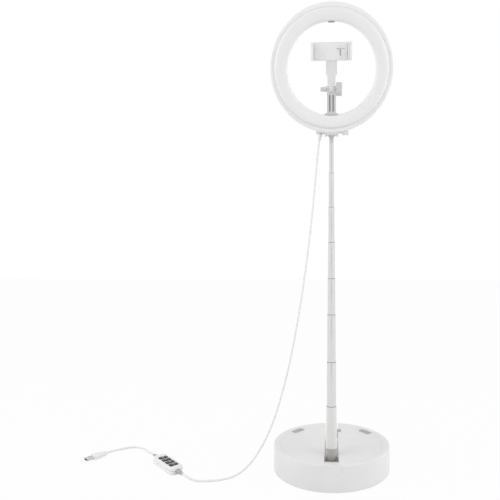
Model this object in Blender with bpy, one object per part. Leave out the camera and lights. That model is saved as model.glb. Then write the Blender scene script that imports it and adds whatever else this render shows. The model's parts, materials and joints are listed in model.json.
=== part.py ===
"""Foldable desk ring light: slotted disc base, telescopic mast, tilting ring with a phone holder, USB cord.

Metres, +Z up. The origin is on the table, under the middle of the base. The light faces -Y.
"""

import math

import bmesh
import bpy
from mathutils import Matrix, Vector

for old_object in list(bpy.data.objects):
    bpy.data.objects.remove(old_object)

# Fits
CLEARANCE = 0.0003
PIN_CLEARANCE = 0.00015

# Base
BASE_DIAMETER = 0.212
BASE_HEIGHT = 0.047
BASE_WALL = 0.003
DECK_THICKNESS = 0.003
RIM_WIDTH = 0.0095
RIM_RISE = 0.002
BASE_TOP_RADIUS = 0.002
BASE_FOOT_RADIUS = 0.0025
FOOT_INSET = 0.008
FOOT_THICKNESS = 0.002
PLATE_THICKNESS = 0.004
SCOOP_RADIUS = 0.019
SCOOP_DEPTH = 0.0022
WEIGHT_INSET = 0.026
WEIGHT_THICKNESS = 0.008
WEIGHT_BEVEL = 0.001
WEIGHT_SIDE_GAP = 0.004
POST_INSET = 0.016
POST_DIAMETER = 0.010
POST_ANGLES = (30, 150, 222, 318)
SCREW_DIAMETER = 0.003
SCREW_HEAD_DIAMETER = 0.0062
SCREW_HEAD_HEIGHT = 0.002
SCREW_BITE = 0.010

# Slot for the folded mast
SLOT_WIDTH = 0.0246
LINER_WALL = 0.0025
LINER_FLOOR_THICKNESS = 0.003
FOLD_FROM_FRONT = 0.054
PIT_AHEAD_OF_FOLD = 0.0337
MAST_FLOOR_GAP = 0.005
HINGE_PIN_DIAMETER = 0.005
HINGE_BOSS_DIAMETER = 0.012
HINGE_BOSS_WIDTH = 0.003

# Fittings on the deck
REST_ANGLES = {"right": 43, "left": 137}
REST_SPREAD = 7.5
REST_LENGTH = 0.009
REST_DEPTH = 0.0016
REST_RISE = 0.0016
CLIP_FROM_BACK = 0.040
CLIP_LENGTH = 0.016
CLIP_WIDTH = 0.006
CLIP_DEPTH = 0.012
CLIP_NIB = 0.0012
BUTTON_PLATE_WIDTH = 0.021
BUTTON_PLATE_LENGTH = 0.0105
BUTTON_PLATE_HEIGHT = 0.009
BUTTON_PLATE_RISE = 0.0012
BUTTON_PLATE_BEVEL = 0.0008
BUTTON_PLATE_CORNER = 0.0015
RELEASE_SPRING_DIAMETER = 0.007
RELEASE_SPRING_BORE = 0.005

# Mast
SLEEVE_FOOT = 0.011
SLEEVE_LENGTH = 0.0927
SLEEVE_BOTTOM_DIAMETER = 0.021
SLEEVE_TOP_DIAMETER = 0.0177
KNUCKLE_SIDE_GAP = 0.0005
SPIGOT_HEIGHT = 0.003
TOE_LENGTH = 0.018
TOE_HEIGHT = 0.006
HEEL_AHEAD = 0.0035
HEEL_ANGLE = 75
TUBE_DIAMETER = 0.016
TUBE_WALL = 0.00045
TUBE_GAP = 0.0002
TUBE_VISIBLE_LENGTHS = (0.0770, 0.0825, 0.0630, 0.0630, 0.0613, 0.0597, 0.0843)
TUBE_OVERLAP = 0.014
TUBE_MOUTH_CHAMFER = 0.0003

# Head bracket
PIVOT_AHEAD = 0.014
PIVOT_DROP = 0.014
BRACKET_EYE_DIAMETER = 0.013
BRACKET_SOCKET_DIAMETER = 0.0125
BRACKET_SOCKET_DEPTH = 0.020
BRACKET_BRIDGE_DIAMETER = 0.010
BRACKET_WIDTH = 0.024
CHEEK_THICKNESS = 0.003
TILT_BOLT_DIAMETER = 0.0048
TILT_BOLT_HEAD_DIAMETER = 0.009
TILT_BOLT_HEAD_HEIGHT = 0.0025
TILT_BOLT_BITE = 0.0055
KNOB_COLLAR_DIAMETER = 0.008
KNOB_COLLAR_LENGTH = 0.006
KNOB_COLLAR_SUNK = 0.0028
KNOB_DIAMETER = 0.0135
KNOB_LENGTH = 0.011
KNOB_LOBES = 8
KNOB_LOBE_DEPTH = 0.0006
GLAND_EAR_LENGTH = 0.015
GLAND_EAR_BEHIND = 0.0055
GLAND_EAR_DROP = 0.002
GLAND_EAR_HEIGHT = 0.006
GLAND_EAR_DEPTH = 0.009
GLAND_EAR_BEVEL = 0.001
GLAND_LENGTH = 0.011
GLAND_COLLAR_LENGTH = 0.003
GLAND_TOP_DIAMETER = 0.0075
GLAND_TIP_DIAMETER = 0.0048
GLAND_LEAN = 8

# Ring
RING_TILT = 19
RING_OUTER_DIAMETER = 0.200
RING_BAND_WIDTH = 0.028
RING_BEHIND_GAP = 0.0075
CASING_DEPTH = 0.017
CASING_WALL = 0.0022
CASING_REAR_RADIUS = 0.007
CASING_INNER_RADIUS = 0.003
CASING_RIM_RADIUS = 0.0015
CASING_RIM_WIDTH = 0.0075
CASING_RIM_LIP = 0.0022
CASING_INNER_STEP = 0.002
DIFFUSER_WALL = 0.0018
DIFFUSER_CROWN = 0.0065
CROWN_FULLNESS = 0.7
DIFFUSER_FLANGE = 0.0012
BOARD_THICKNESS = 0.0016
BOARD_MARGIN = 0.001
LED_COUNT = 16
LED_LENGTH = 0.005
LED_HEIGHT = 0.0014
LUG_EYE_DIAMETER = 0.012
LUG_REACH = 0.012
LUG_SEAT_START = 0.003
LUG_TIP_THICKNESS = 0.0036
LUG_WRAP_ANGLE = 129
SOCKET_FLANGE_DIAMETER = 0.011
SOCKET_FLANGE_HEIGHT = 0.001
SOCKET_DIAMETER = 0.008
SOCKET_BORE = 0.006
SOCKET_LENGTH = 0.006

# Phone holder
STEM_WIDTH = 0.0146
STEM_DEPTH = 0.009
STEM_FLANGE_WIDTH = 0.0225
STEM_FLANGE_DEPTH = 0.012
STEM_FLANGE_HEIGHT = 0.003
STEM_GROOVE_WIDTH = 0.0026
STEM_GROOVE_DEPTH = 0.005
STEM_GROOVE_SPACING = 0.0056
STEM_GROOVE_MARGIN = 0.003
HOLDER_HINGE_RISE = 0.0415
HOLDER_EYE_DIAMETER = 0.011
HOLDER_TONGUE_WIDTH = 0.007
HOLDER_BOLT_DIAMETER = 0.004
HOLDER_BOLT_HEAD_DIAMETER = 0.0085
HOLDER_BOLT_HEAD_LENGTH = 0.0105
HOLDER_BOLT_TIP_DIAMETER = 0.0064
HOLDER_BOLT_BITE = 0.0039
HOLDER_KNOB_DIAMETER = 0.0215
HOLDER_KNOB_LENGTH = 0.0095
HOLDER_KNOB_LOBES = 6
HOLDER_KNOB_LOBE_DEPTH = 0.0013
NECK_LENGTH = 0.0435
NECK_SHOULDER_GAP = 0.0012
NECK_WIDTH = 0.013
NECK_TOP_WIDTH = 0.018
NECK_TAPER_START = 0.019
NECK_TAPER_END = 0.024
NECK_DEPTH = 0.0075
CLAMP_WIDTH = 0.066
CLAMP_HEIGHT = 0.028
CLAMP_DEPTH = 0.011
CLAMP_LIP_THICKNESS = 0.004
CLAMP_LIP_REACH = 0.012
CLAMP_BEVEL = 0.001
JAW_BLOCK_WIDTH = 0.0072
JAW_TRAVEL = 0.018
JAW_GUIDED_LENGTH = 0.017
JAW_TONGUE_HEIGHT = 0.009
JAW_TONGUE_DEPTH = 0.005
CHANNEL_END_WALL = 0.010
JAW_SPRING_DIAMETER = 0.005
GUIDE_SLOT_WIDTH = 0.0026
GUIDE_SLOT_HEIGHT = 0.014
GUIDE_SLOT_CORNER = 0.0011
GUIDE_SLOT_FROM_JAW = 0.0115
LIP_PAD_THICKNESS = 0.0016
LIP_PAD_MARGIN = 0.002
BED_PAD_WIDTH = 0.015
BED_PAD_THICKNESS = 0.001

# Cord, remote and plug
CORD_DIAMETER = 0.0036
CORD_POINT_SPACING = 0.0115
REMOTE_LENGTH = 0.078
REMOTE_WIDTH = 0.0245
REMOTE_HEIGHT = 0.0125
REMOTE_CORNER_RADIUS = 0.007
REMOTE_WALL = 0.0018
REMOTE_BEVEL = 0.0016
REMOTE_SPLIT = 0.006
REMOTE_FLOOR_GAP = 0.0002
REMOTE_BOARD_THICKNESS = 0.0016
KEY_COUNT = 4
KEY_PITCH = 0.0135
KEY_LENGTH = 0.009
KEY_WIDTH = 0.0155
KEY_RISE = 0.0012
KEY_TRAVEL = 0.0008
KEY_GAP = 0.0004
KEY_OFFSET = -0.002
RELIEF_LENGTH = 0.0175
RELIEF_WIDE = 0.0085
RELIEF_NARROW = 0.0052
RELIEF_RIBS = 4
RELIEF_RIB_DEPTH = 0.0007
RELIEF_CREST_SHARE = 0.55
RELIEF_FLANK_SHARE = 0.1
RELIEF_ROOT_SHARE = 0.3
PLUG_BODY_LENGTH = 0.028
PLUG_BODY_WIDTH = 0.0155
PLUG_BODY_HEIGHT = 0.0078
PLUG_BODY_TAIL_WIDTH = 0.0075
PLUG_BODY_TAIL_LENGTH = 0.0067
PLUG_BODY_SHOULDER = 0.0112
PLUG_BODY_BEVEL = 0.001
PLUG_SHELL_LENGTH = 0.0185
PLUG_SHELL_WIDTH = 0.012
PLUG_SHELL_HEIGHT = 0.0045
PLUG_SHELL_WALL = 0.0004
PLUG_SHELL_SEAT = 0.006
PLUG_TONGUE_THICKNESS = 0.0018
PLUG_TONGUE_INSET = 0.0015

# Where the remote and the plug lie, and the cord's route over the table
REMOTE_START = (-0.262, -0.056)
REMOTE_HEADING = 134.5
PLUG_START = (-0.4405, 0.0355)
PLUG_HEADING = 231.5
DROP_ROUTE = ((-0.0325, -0.0615, 0.4716), (-0.0445, -0.0615, 0.3695), (-0.0600, -0.0620, 0.2696))
FLOOR_ROUTE = (
    (-0.0800, -0.0620, 0.1740),
    (-0.1050, -0.0630, 0.0937),
    (-0.1350, -0.0640, 0.0383),
    (-0.1650, -0.0650, 0.0107),
    (-0.1950, -0.0670, 0.0024),
    (-0.2150, -0.0715, 0.0024),
    (-0.2350, -0.0715, 0.0024),
)
TAIL_ROUTE = (
    (-0.3620, 0.0490, 0.0024),
    (-0.3780, 0.0660, 0.0022),
    (-0.4010, 0.0720, 0.0022),
    (-0.4230, 0.0590, 0.0024),
)

# Roundness
BASE_STEPS = 48
RING_STEPS = 48
SCOOP_STEPS = 32
SECTOR_STEPS = 8
WEIGHT_STEPS = 16
TUBE_STEPS = 18
SMALL_STEPS = 12
ARC_STEPS = 3
CROWN_STEPS = 6
CROWN_INSIDE_STEPS = 3
RELIEF_STEPS = 10
SHARP_ANGLE = math.radians(35)
MERGE_DISTANCE = 1e-6

# Holes, heights and places that follow from the sizes
SCREW_HOLE = SCREW_DIAMETER + 2 * PIN_CLEARANCE
HINGE_PIN_HOLE = HINGE_PIN_DIAMETER + 2 * PIN_CLEARANCE
TILT_BOLT_HOLE = TILT_BOLT_DIAMETER + 2 * PIN_CLEARANCE
HOLDER_BOLT_HOLE = HOLDER_BOLT_DIAMETER + 2 * PIN_CLEARANCE
BASE_RADIUS = BASE_DIAMETER / 2
FOOT_DIAMETER = BASE_DIAMETER - 2 * FOOT_INSET
WEIGHT_RADIUS = BASE_RADIUS - WEIGHT_INSET
POST_RADIUS = BASE_RADIUS - POST_INSET
RIM_INNER_RADIUS = BASE_RADIUS - RIM_WIDTH - RIM_RISE
REST_OUTER_RADIUS = RIM_INNER_RADIUS - CLEARANCE
REST_INNER_RADIUS = REST_OUTER_RADIUS - REST_LENGTH
CLIP_Y = BASE_RADIUS - CLIP_FROM_BACK
PLATE_BOTTOM = FOOT_THICKNESS + CLEARANCE
PLATE_TOP = PLATE_BOTTOM + PLATE_THICKNESS
DECK_TOP = BASE_HEIGHT - RIM_RISE
DECK_UNDER = DECK_TOP - DECK_THICKNESS
LINER_BOTTOM = PLATE_TOP + CLEARANCE
LINER_FLOOR = LINER_BOTTOM + LINER_FLOOR_THICKNESS
LINER_OUTER = SLOT_WIDTH / 2 + LINER_WALL
FOLD_Y = FOLD_FROM_FRONT - BASE_RADIUS
FOLD_Z = LINER_FLOOR + MAST_FLOOR_GAP + SLEEVE_BOTTOM_DIAMETER / 2
PIT_FRONT_Y = FOLD_Y - PIT_AHEAD_OF_FOLD
SLEEVE_TOP = SLEEVE_FOOT + SLEEVE_LENGTH
MAST_TOP = SLEEVE_TOP + sum(TUBE_VISIBLE_LENGTHS)
TOP_TUBE_DIAMETER = TUBE_DIAMETER - 2 * (TUBE_WALL + TUBE_GAP) * (len(TUBE_VISIBLE_LENGTHS) - 1)
PIVOT_Y = FOLD_Y - PIVOT_AHEAD
PIVOT_HEIGHT = MAST_TOP - PIVOT_DROP
PIVOT_Z = FOLD_Z + PIVOT_HEIGHT
LUG_WIDTH = BRACKET_WIDTH - 2 * CHEEK_THICKNESS - 2 * CLEARANCE
RING_RADIUS = RING_OUTER_DIAMETER / 2
OPENING_RADIUS = RING_RADIUS - RING_BAND_WIDTH
RING_CENTRE_UP = RING_RADIUS
OPENING_BOTTOM_UP = RING_CENTRE_UP - OPENING_RADIUS
OPENING_TOP_UP = RING_CENTRE_UP + OPENING_RADIUS
HOLDER_FRONT = RING_BEHIND_GAP + CASING_DEPTH / 2
HOLDER_HINGE_UP = OPENING_BOTTOM_UP + HOLDER_HINGE_RISE
CLAMP_BOTTOM = NECK_LENGTH + CLEARANCE
REMOTE_ANGLE = math.radians(REMOTE_HEADING)
PLUG_ANGLE = math.radians(PLUG_HEADING)

# Directions for parts that are drawn flat and then stood up
ALONG_X = Matrix(((0, 0, 1), (1, 0, 0), (0, 1, 0))).to_4x4()
ALONG_Y = Matrix(((1, 0, 0), (0, 0, -1), (0, 1, 0))).to_4x4()


def material(name, colour, roughness, metallic=0.0):
    made = bpy.data.materials.new(name)
    made.use_nodes = True
    surface = made.node_tree.nodes["Principled BSDF"]
    surface.inputs["Base Color"].default_value = (*colour, 1.0)
    surface.inputs["Roughness"].default_value = roughness
    surface.inputs["Metallic"].default_value = metallic
    return made


FINISHES = {
    "white_plastic": ((0.80, 0.80, 0.79), 0.45, 0.0),
    "cream_plastic": ((0.72, 0.71, 0.67), 0.40, 0.0),
    "white_tube": ((0.78, 0.78, 0.78), 0.28, 0.6),
    "steel": ((0.60, 0.60, 0.60), 0.35, 1.0),
    "diffuser": ((0.86, 0.86, 0.86), 0.35, 0.0),
    "grey_rubber": ((0.28, 0.28, 0.28), 0.80, 0.0),
    "pale_rubber": ((0.70, 0.70, 0.69), 0.75, 0.0),
    "black_key": ((0.02, 0.02, 0.02), 0.45, 0.0),
    "green_board": ((0.10, 0.25, 0.14), 0.50, 0.0),
    "grey_relief": ((0.50, 0.50, 0.50), 0.65, 0.0),
}


def arc(centre, radius, start, end, steps=ARC_STEPS):
    """Points on an arc, with angles in degrees."""
    angles = [math.radians(start + (end - start) * i / steps) for i in range(steps + 1)]
    return [(centre[0] + radius * math.cos(a), centre[1] + radius * math.sin(a)) for a in angles]


def rounded_rectangle(width, height, radius, centre=(0.0, 0.0)):
    x = width / 2 - radius
    y = height / 2 - radius
    corners = ((x, y, 0), (-x, y, 90), (-x, -y, 180), (x, -y, 270))
    points = []
    for cx, cy, start in corners:
        points += arc((centre[0] + cx, centre[1] + cy), radius, start, start + 90)
    return points


def strap(first, first_radius, second, second_radius, steps=6):
    """Outline round two circles, joined by their common tangents."""
    dx = second[0] - first[0]
    dy = second[1] - first[1]
    heading = math.degrees(math.atan2(dy, dx))
    lean = math.degrees(math.acos((first_radius - second_radius) / math.hypot(dx, dy)))
    return arc(second, second_radius, heading - lean, heading + lean, steps) + arc(
        first, first_radius, heading + lean, heading + 360 - lean, steps
    )


def lobed(diameter, lobes, depth, steps_per_lobe=4):
    count = lobes * steps_per_lobe
    points = []
    for i in range(count):
        angle = 2 * math.pi * i / count
        radius = diameter / 2 - depth * (1 - math.cos(lobes * angle)) / 2
        points.append((radius * math.cos(angle), radius * math.sin(angle)))
    return points


def as_object(name, mesh_builder, move):
    bmesh.ops.recalc_face_normals(mesh_builder, faces=mesh_builder.faces)
    mesh = bpy.data.meshes.new(name)
    mesh_builder.to_mesh(mesh)
    mesh_builder.free()
    mesh.transform(move)
    made = bpy.data.objects.new(name, mesh)
    bpy.context.scene.collection.objects.link(made)
    return made


def turned(name, profile, steps, ring=False, move=Matrix()):
    """A lathe shape about Z from (radius, height) points. A ring's profile closes on itself."""
    builder = bmesh.new()
    verts = [builder.verts.new((radius, 0, height)) for radius, height in profile]
    pairs = list(zip(verts, verts[1:]))
    if ring:
        pairs.append((verts[-1], verts[0]))
    edges = [builder.edges.new(pair) for pair in pairs]
    bmesh.ops.spin(
        builder,
        geom=verts + edges,
        axis=(0, 0, 1),
        cent=(0, 0, 0),
        angle=2 * math.pi,
        steps=steps,
        use_merge=True,
    )
    bmesh.ops.remove_doubles(builder, verts=builder.verts, dist=MERGE_DISTANCE)
    centres = [vert for vert in builder.verts if vert.co.xy.length < MERGE_DISTANCE]
    bmesh.ops.dissolve_verts(builder, verts=centres)
    return as_object(name, builder, move)


def rod(name, diameter, start, end, steps=SMALL_STEPS, move=Matrix()):
    radius = diameter / 2
    return turned(name, [(0, end), (radius, end), (radius, start), (0, start)], steps, move=move)


def pipe(name, diameter, bore, start, end, steps=SMALL_STEPS, move=Matrix()):
    outer = diameter / 2
    inner = bore / 2
    return turned(name, [(outer, end), (outer, start), (inner, start), (inner, end)], steps, True, move)


def slab(name, outline, start, end, move=Matrix(), bevel=0.0, segments=2):
    """An outline pushed along Z from start to end, with its rims bevelled."""
    builder = bmesh.new()
    face = builder.faces.new([builder.verts.new((x, y, start)) for x, y in outline])
    pushed = bmesh.ops.extrude_face_region(builder, geom=[face])
    tops = [item for item in pushed["geom"] if isinstance(item, bmesh.types.BMVert)]
    bmesh.ops.translate(builder, vec=(0, 0, end - start), verts=tops)
    if bevel:
        rims = []
        for edge in builder.edges:
            if abs(edge.verts[0].co.z - edge.verts[1].co.z) < MERGE_DISTANCE:
                rims.append(edge)
        bmesh.ops.bevel(builder, geom=rims, offset=bevel, segments=segments, profile=0.5, affect="EDGES")
    return as_object(name, builder, move)


def block(name, low, high, bevel=0.0):
    """A box between two corners."""
    outline = [(low[0], low[1]), (high[0], low[1]), (high[0], high[1]), (low[0], high[1])]
    made = slab(name, outline, low[2], high[2])
    if bevel:
        builder = bmesh.new()
        builder.from_mesh(made.data)
        bmesh.ops.bevel(builder, geom=builder.edges[:], offset=bevel, segments=1, affect="EDGES")
        builder.to_mesh(made.data)
        builder.free()
    return made


def combine(target, tools, operation):
    """A Boolean with each tool in turn. The tools are used up."""
    for tool in tools:
        modifier = target.modifiers.new(operation.lower(), "BOOLEAN")
        modifier.operation = operation
        modifier.solver = "EXACT"
        modifier.object = tool
        target.modifiers.new("weld", "WELD").merge_threshold = MERGE_DISTANCE
        bpy.context.view_layer.update()
        graph = bpy.context.evaluated_depsgraph_get()
        result = bpy.data.meshes.new_from_object(target.evaluated_get(graph))
        target.modifiers.clear()
        target.data = result
        bpy.data.objects.remove(tool)
    return target


def cut(target, *tools):
    return combine(target, tools, "DIFFERENCE")


def fuse(target, *tools):
    return combine(target, tools, "UNION")


def keep(target, *tools):
    return combine(target, tools, "INTERSECT")


def axis_empty(name, location, rotation=(0, 0, 0), parent=None):
    made = bpy.data.objects.new(name, None)
    made.location = location
    made.rotation_euler = rotation
    made.parent = parent
    bpy.context.scene.collection.objects.link(made)
    return made


def place(made, finish, parent=None, location=(0, 0, 0)):
    """Gives a finished piece its own material and hangs it on its joint's axis."""
    made.parent = parent
    made.location = location
    made.data.materials.clear()
    made.data.materials.append(material(made.name, *FINISHES[finish]))
    made.data.shade_smooth()
    made.data.set_sharp_from_angle(angle=SHARP_ANGLE)
    return made


def along_x(up=0.0, front=0.0):
    """Stands a lathe or slab on the X axis, through the point (up, front) of the Y and Z axes."""
    return Matrix.Translation((0, up, front)) @ ALONG_X


# Base


def ring_sector(inner, outer, middle, spread):
    outside = arc((0, 0), outer, middle - spread, middle + spread, SECTOR_STEPS)
    inside = arc((0, 0), inner, middle + spread, middle - spread, SECTOR_STEPS)
    return outside + inside


def post_place(angle):
    radians = math.radians(angle)
    return Matrix.Translation((POST_RADIUS * math.cos(radians), POST_RADIUS * math.sin(radians), 0))


def slot_box(name, floor):
    half = SLOT_WIDTH / 2
    return block(name, (-half, PIT_FRONT_Y, floor), (half, BASE_DIAMETER, 2 * BASE_HEIGHT))


def clip_box(name, gap):
    half = CLIP_LENGTH / 2 + gap
    inner = SLOT_WIDTH / 2 - CLIP_NIB
    outer = SLOT_WIDTH / 2 + CLIP_WIDTH + gap
    top = BASE_HEIGHT if gap else DECK_TOP
    low = (inner, CLIP_Y - half, DECK_TOP - CLIP_DEPTH - gap)
    return block(name, low, (outer, CLIP_Y + half, top))


def button_outline(gap):
    middle = PIT_FRONT_Y - LINER_WALL - 2 * CLEARANCE - BUTTON_PLATE_LENGTH / 2
    return rounded_rectangle(
        BUTTON_PLATE_WIDTH + 2 * gap, BUTTON_PLATE_LENGTH + 2 * gap, BUTTON_PLATE_CORNER + gap, (0, middle)
    )


def base_housing():
    top = BASE_TOP_RADIUS
    low = BASE_FOOT_RADIUS
    top_edge = arc((BASE_RADIUS - top, BASE_HEIGHT - top), top, 90, 0)
    low_edge = arc((BASE_RADIUS - low, PLATE_BOTTOM + low), low, 0, -90)
    rim = BASE_RADIUS - RIM_WIDTH
    inside = BASE_RADIUS - BASE_WALL
    profile = [(0, DECK_TOP), (rim - RIM_RISE, DECK_TOP), (rim, BASE_HEIGHT)] + top_edge + low_edge
    profile += [(inside, PLATE_BOTTOM), (inside, DECK_UNDER), (0, DECK_UNDER)]
    made = turned("base_housing", profile, BASE_STEPS)
    post_top = DECK_TOP - DECK_THICKNESS / 2
    hole_top = PLATE_TOP + SCREW_BITE + 2 * CLEARANCE
    for angle in POST_ANGLES:
        fuse(made, rod("post", POST_DIAMETER, PLATE_TOP + CLEARANCE, post_top, move=post_place(angle)))
        cut(made, rod("screw_hole", SCREW_HOLE, 0, hole_top, move=post_place(angle)))
    cut(made, slot_box("slot", LINER_FLOOR))
    rest_gap = math.degrees(CLEARANCE / REST_INNER_RADIUS)
    for angle in REST_ANGLES.values():
        sector = ring_sector(REST_INNER_RADIUS - CLEARANCE, RIM_INNER_RADIUS, angle, REST_SPREAD + rest_gap)
        cut(made, slab("rest_recess", sector, DECK_TOP - REST_DEPTH - CLEARANCE, BASE_HEIGHT))
    scoop = rod("scoop", 2 * SCOOP_RADIUS, BASE_RADIUS - SCOOP_DEPTH, BASE_DIAMETER, SCOOP_STEPS)
    scoop.data.transform(Matrix.Translation((0, 0, BASE_HEIGHT)) @ ALONG_Y)
    button_hole = slab("button_hole", button_outline(CLEARANCE), DECK_UNDER - DECK_THICKNESS, 2 * BASE_HEIGHT)
    cut(made, clip_box("clip_recess", CLEARANCE), scoop, button_hole)
    return place(made, "white_plastic")


def base_plate():
    radius = BASE_RADIUS - BASE_WALL - CLEARANCE
    made = rod("base_plate", 2 * radius, PLATE_BOTTOM, PLATE_TOP, BASE_STEPS)
    for angle in POST_ANGLES:
        head_top = PLATE_BOTTOM + SCREW_HEAD_HEIGHT + CLEARANCE
        recess = rod("recess", SCREW_HEAD_DIAMETER + 2 * CLEARANCE, 0, head_top, move=post_place(angle))
        hole = rod("hole", SCREW_HOLE, 0, BASE_HEIGHT, move=post_place(angle))
        cut(made, recess, hole)
    return place(made, "white_plastic")


def base_screw(number, angle):
    head = SCREW_HEAD_DIAMETER / 2
    shank = SCREW_DIAMETER / 2
    shoulder = PLATE_BOTTOM + SCREW_HEAD_HEIGHT
    tip = PLATE_TOP + SCREW_BITE
    profile = [(0, tip), (shank, tip), (shank, shoulder), (head, shoulder)]
    profile += [(head, PLATE_BOTTOM), (0, PLATE_BOTTOM)]
    made = turned(f"base_screw_{number}", profile, SMALL_STEPS, move=post_place(angle))
    return place(made, "steel")


def counterweight(side, sign):
    near = LINER_OUTER + HINGE_BOSS_WIDTH + WEIGHT_SIDE_GAP
    swing = math.degrees(math.acos(near / WEIGHT_RADIUS))
    outline = [(sign * x, y) for x, y in arc((0, 0), WEIGHT_RADIUS, -swing, swing, WEIGHT_STEPS)]
    bottom = PLATE_TOP + CLEARANCE
    top = bottom + WEIGHT_THICKNESS
    made = slab(f"counterweight_{side}", outline, bottom, top, bevel=WEIGHT_BEVEL, segments=1)
    return place(made, "steel")


def slot_liner():
    back = math.sqrt((BASE_RADIUS - BASE_WALL) ** 2 - LINER_OUTER**2) - CLEARANCE
    front = PIT_FRONT_Y - LINER_WALL
    top = DECK_UNDER - CLEARANCE
    made = block("slot_liner", (-LINER_OUTER, front, LINER_BOTTOM), (LINER_OUTER, back, top))
    hinge = along_x(FOLD_Y, FOLD_Z)
    reach = LINER_OUTER + HINGE_BOSS_WIDTH
    fuse(made, rod("boss", HINGE_BOSS_DIAMETER, -reach, reach, move=hinge))
    cut(made, slot_box("slot", LINER_FLOOR), rod("hole", HINGE_PIN_HOLE, -2 * reach, 2 * reach, move=hinge))
    cut(made, clip_box("clip_recess", CLEARANCE))
    return place(made, "white_plastic")


def hinge_pin():
    reach = LINER_OUTER + HINGE_BOSS_WIDTH
    made = rod("hinge_pin", HINGE_PIN_DIAMETER, -reach, reach, move=along_x(FOLD_Y, FOLD_Z))
    return place(made, "steel")


def ring_rest(side, angle):
    sector = ring_sector(REST_INNER_RADIUS, REST_OUTER_RADIUS, angle, REST_SPREAD)
    made = slab(f"ring_rest_{side}", sector, DECK_TOP - REST_DEPTH, DECK_TOP + REST_RISE)
    return place(made, "grey_rubber")


def mast_clip():
    return place(clip_box("mast_clip", 0), "grey_rubber")


def release_button():
    top = DECK_TOP + BUTTON_PLATE_RISE
    made = slab(
        "release_button", button_outline(0), top - BUTTON_PLATE_HEIGHT, top, bevel=BUTTON_PLATE_BEVEL
    )
    return place(made, "white_plastic")


def release_spring():
    middle = PIT_FRONT_Y - LINER_WALL - 2 * CLEARANCE - BUTTON_PLATE_LENGTH / 2
    top = DECK_TOP + BUTTON_PLATE_RISE - BUTTON_PLATE_HEIGHT - CLEARANCE
    move = Matrix.Translation((0, middle, 0))
    made = pipe(
        "release_spring", RELEASE_SPRING_DIAMETER, RELEASE_SPRING_BORE, PLATE_TOP + CLEARANCE, top, move=move
    )
    return place(made, "steel")


# Mast, drawn about the fold axis with the mast along +Z


def mast_knuckle(fold_axis):
    radius = SLEEVE_BOTTOM_DIAMETER / 2
    toe_bottom = LINER_FLOOR + CLEARANCE - FOLD_Z
    toe_top = toe_bottom + TOE_HEIGHT
    outline = [(-radius, SLEEVE_FOOT), (-radius, toe_top), (-TOE_LENGTH, toe_top), (-TOE_LENGTH, toe_bottom)]
    outline += [(-HEEL_AHEAD, toe_bottom)] + arc((0, 0), radius, -HEEL_ANGLE, 0, 6) + [(radius, SLEEVE_FOOT)]
    half = SLOT_WIDTH / 2 - KNUCKLE_SIDE_GAP
    made = slab("mast_knuckle", outline, -half, half, ALONG_X)
    spigot = TUBE_DIAMETER + 2 * TUBE_GAP - 2 * PIN_CLEARANCE
    fuse(made, rod("spigot", spigot, 0, SLEEVE_FOOT + SPIGOT_HEIGHT, TUBE_STEPS))
    cut(made, rod("bore", HINGE_PIN_HOLE, -SLOT_WIDTH, SLOT_WIDTH, move=ALONG_X))
    return place(made, "cream_plastic", fold_axis)


def mast_sleeve(fold_axis):
    bore = TUBE_DIAMETER / 2 + TUBE_GAP
    bottom = SLEEVE_FOOT + CLEARANCE
    low = SLEEVE_BOTTOM_DIAMETER / 2
    high = SLEEVE_TOP_DIAMETER / 2
    lip = TUBE_MOUTH_CHAMFER
    profile = [(high - lip, SLEEVE_TOP), (high, SLEEVE_TOP - lip), (low, bottom)]
    profile += [(bore, bottom), (bore, SLEEVE_TOP)]
    return place(turned("mast_sleeve", profile, TUBE_STEPS, True), "cream_plastic", fold_axis)


def mast_tube(number, mast_axis):
    outer = TUBE_DIAMETER / 2 - (TUBE_WALL + TUBE_GAP) * (number - 1)
    inner = outer - TUBE_WALL
    top = SLEEVE_TOP + sum(TUBE_VISIBLE_LENGTHS[:number])
    bottom = top - TUBE_VISIBLE_LENGTHS[number - 1] - TUBE_OVERLAP
    lip = TUBE_MOUTH_CHAMFER
    profile = [(outer - lip, top), (outer, top - lip), (outer, bottom), (inner, bottom), (inner, top)]
    return place(turned(f"tube_{number}", profile, TUBE_STEPS, True), "white_tube", mast_axis)


def head_bracket(mast_axis):
    pivot = (-PIVOT_AHEAD, PIVOT_HEIGHT)
    arm = (0, PIVOT_HEIGHT)
    eye = BRACKET_EYE_DIAMETER / 2
    socket = BRACKET_SOCKET_DIAMETER / 2
    half = BRACKET_WIDTH / 2
    cap = MAST_TOP + CLEARANCE + CHEEK_THICKNESS
    made = rod("head_bracket", BRACKET_SOCKET_DIAMETER, MAST_TOP - BRACKET_SOCKET_DEPTH, cap, TUBE_STEPS)
    bridge = rod("bridge", BRACKET_BRIDGE_DIAMETER, -half + CLEARANCE, half - CLEARANCE, move=along_x(*arm))
    outline = strap(pivot, eye, arm, socket)
    left = slab("left_cheek", outline, -half, -half + CHEEK_THICKNESS, ALONG_X)
    right = slab("right_cheek", outline, half - CHEEK_THICKNESS, half, ALONG_X)
    ear_front = pivot[0] + GLAND_EAR_BEHIND
    ear_bottom = pivot[1] - GLAND_EAR_DROP
    ear_low = (-half - GLAND_EAR_LENGTH, ear_front, ear_bottom)
    ear_high = (-half + PIN_CLEARANCE, ear_front + GLAND_EAR_DEPTH, ear_bottom + GLAND_EAR_HEIGHT)
    fuse(made, bridge, left, right, block("gland_ear", ear_low, ear_high, GLAND_EAR_BEVEL))
    tube_bore = rod("tube_bore", TOP_TUBE_DIAMETER + 2 * PIN_CLEARANCE, 0, MAST_TOP + CLEARANCE, TUBE_STEPS)
    pivot_bore = rod("pivot_bore", TILT_BOLT_HOLE, -BRACKET_WIDTH, BRACKET_WIDTH, move=along_x(*pivot))
    cut(made, tube_bore, pivot_bore)
    return place(made, "white_plastic", mast_axis)


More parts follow.
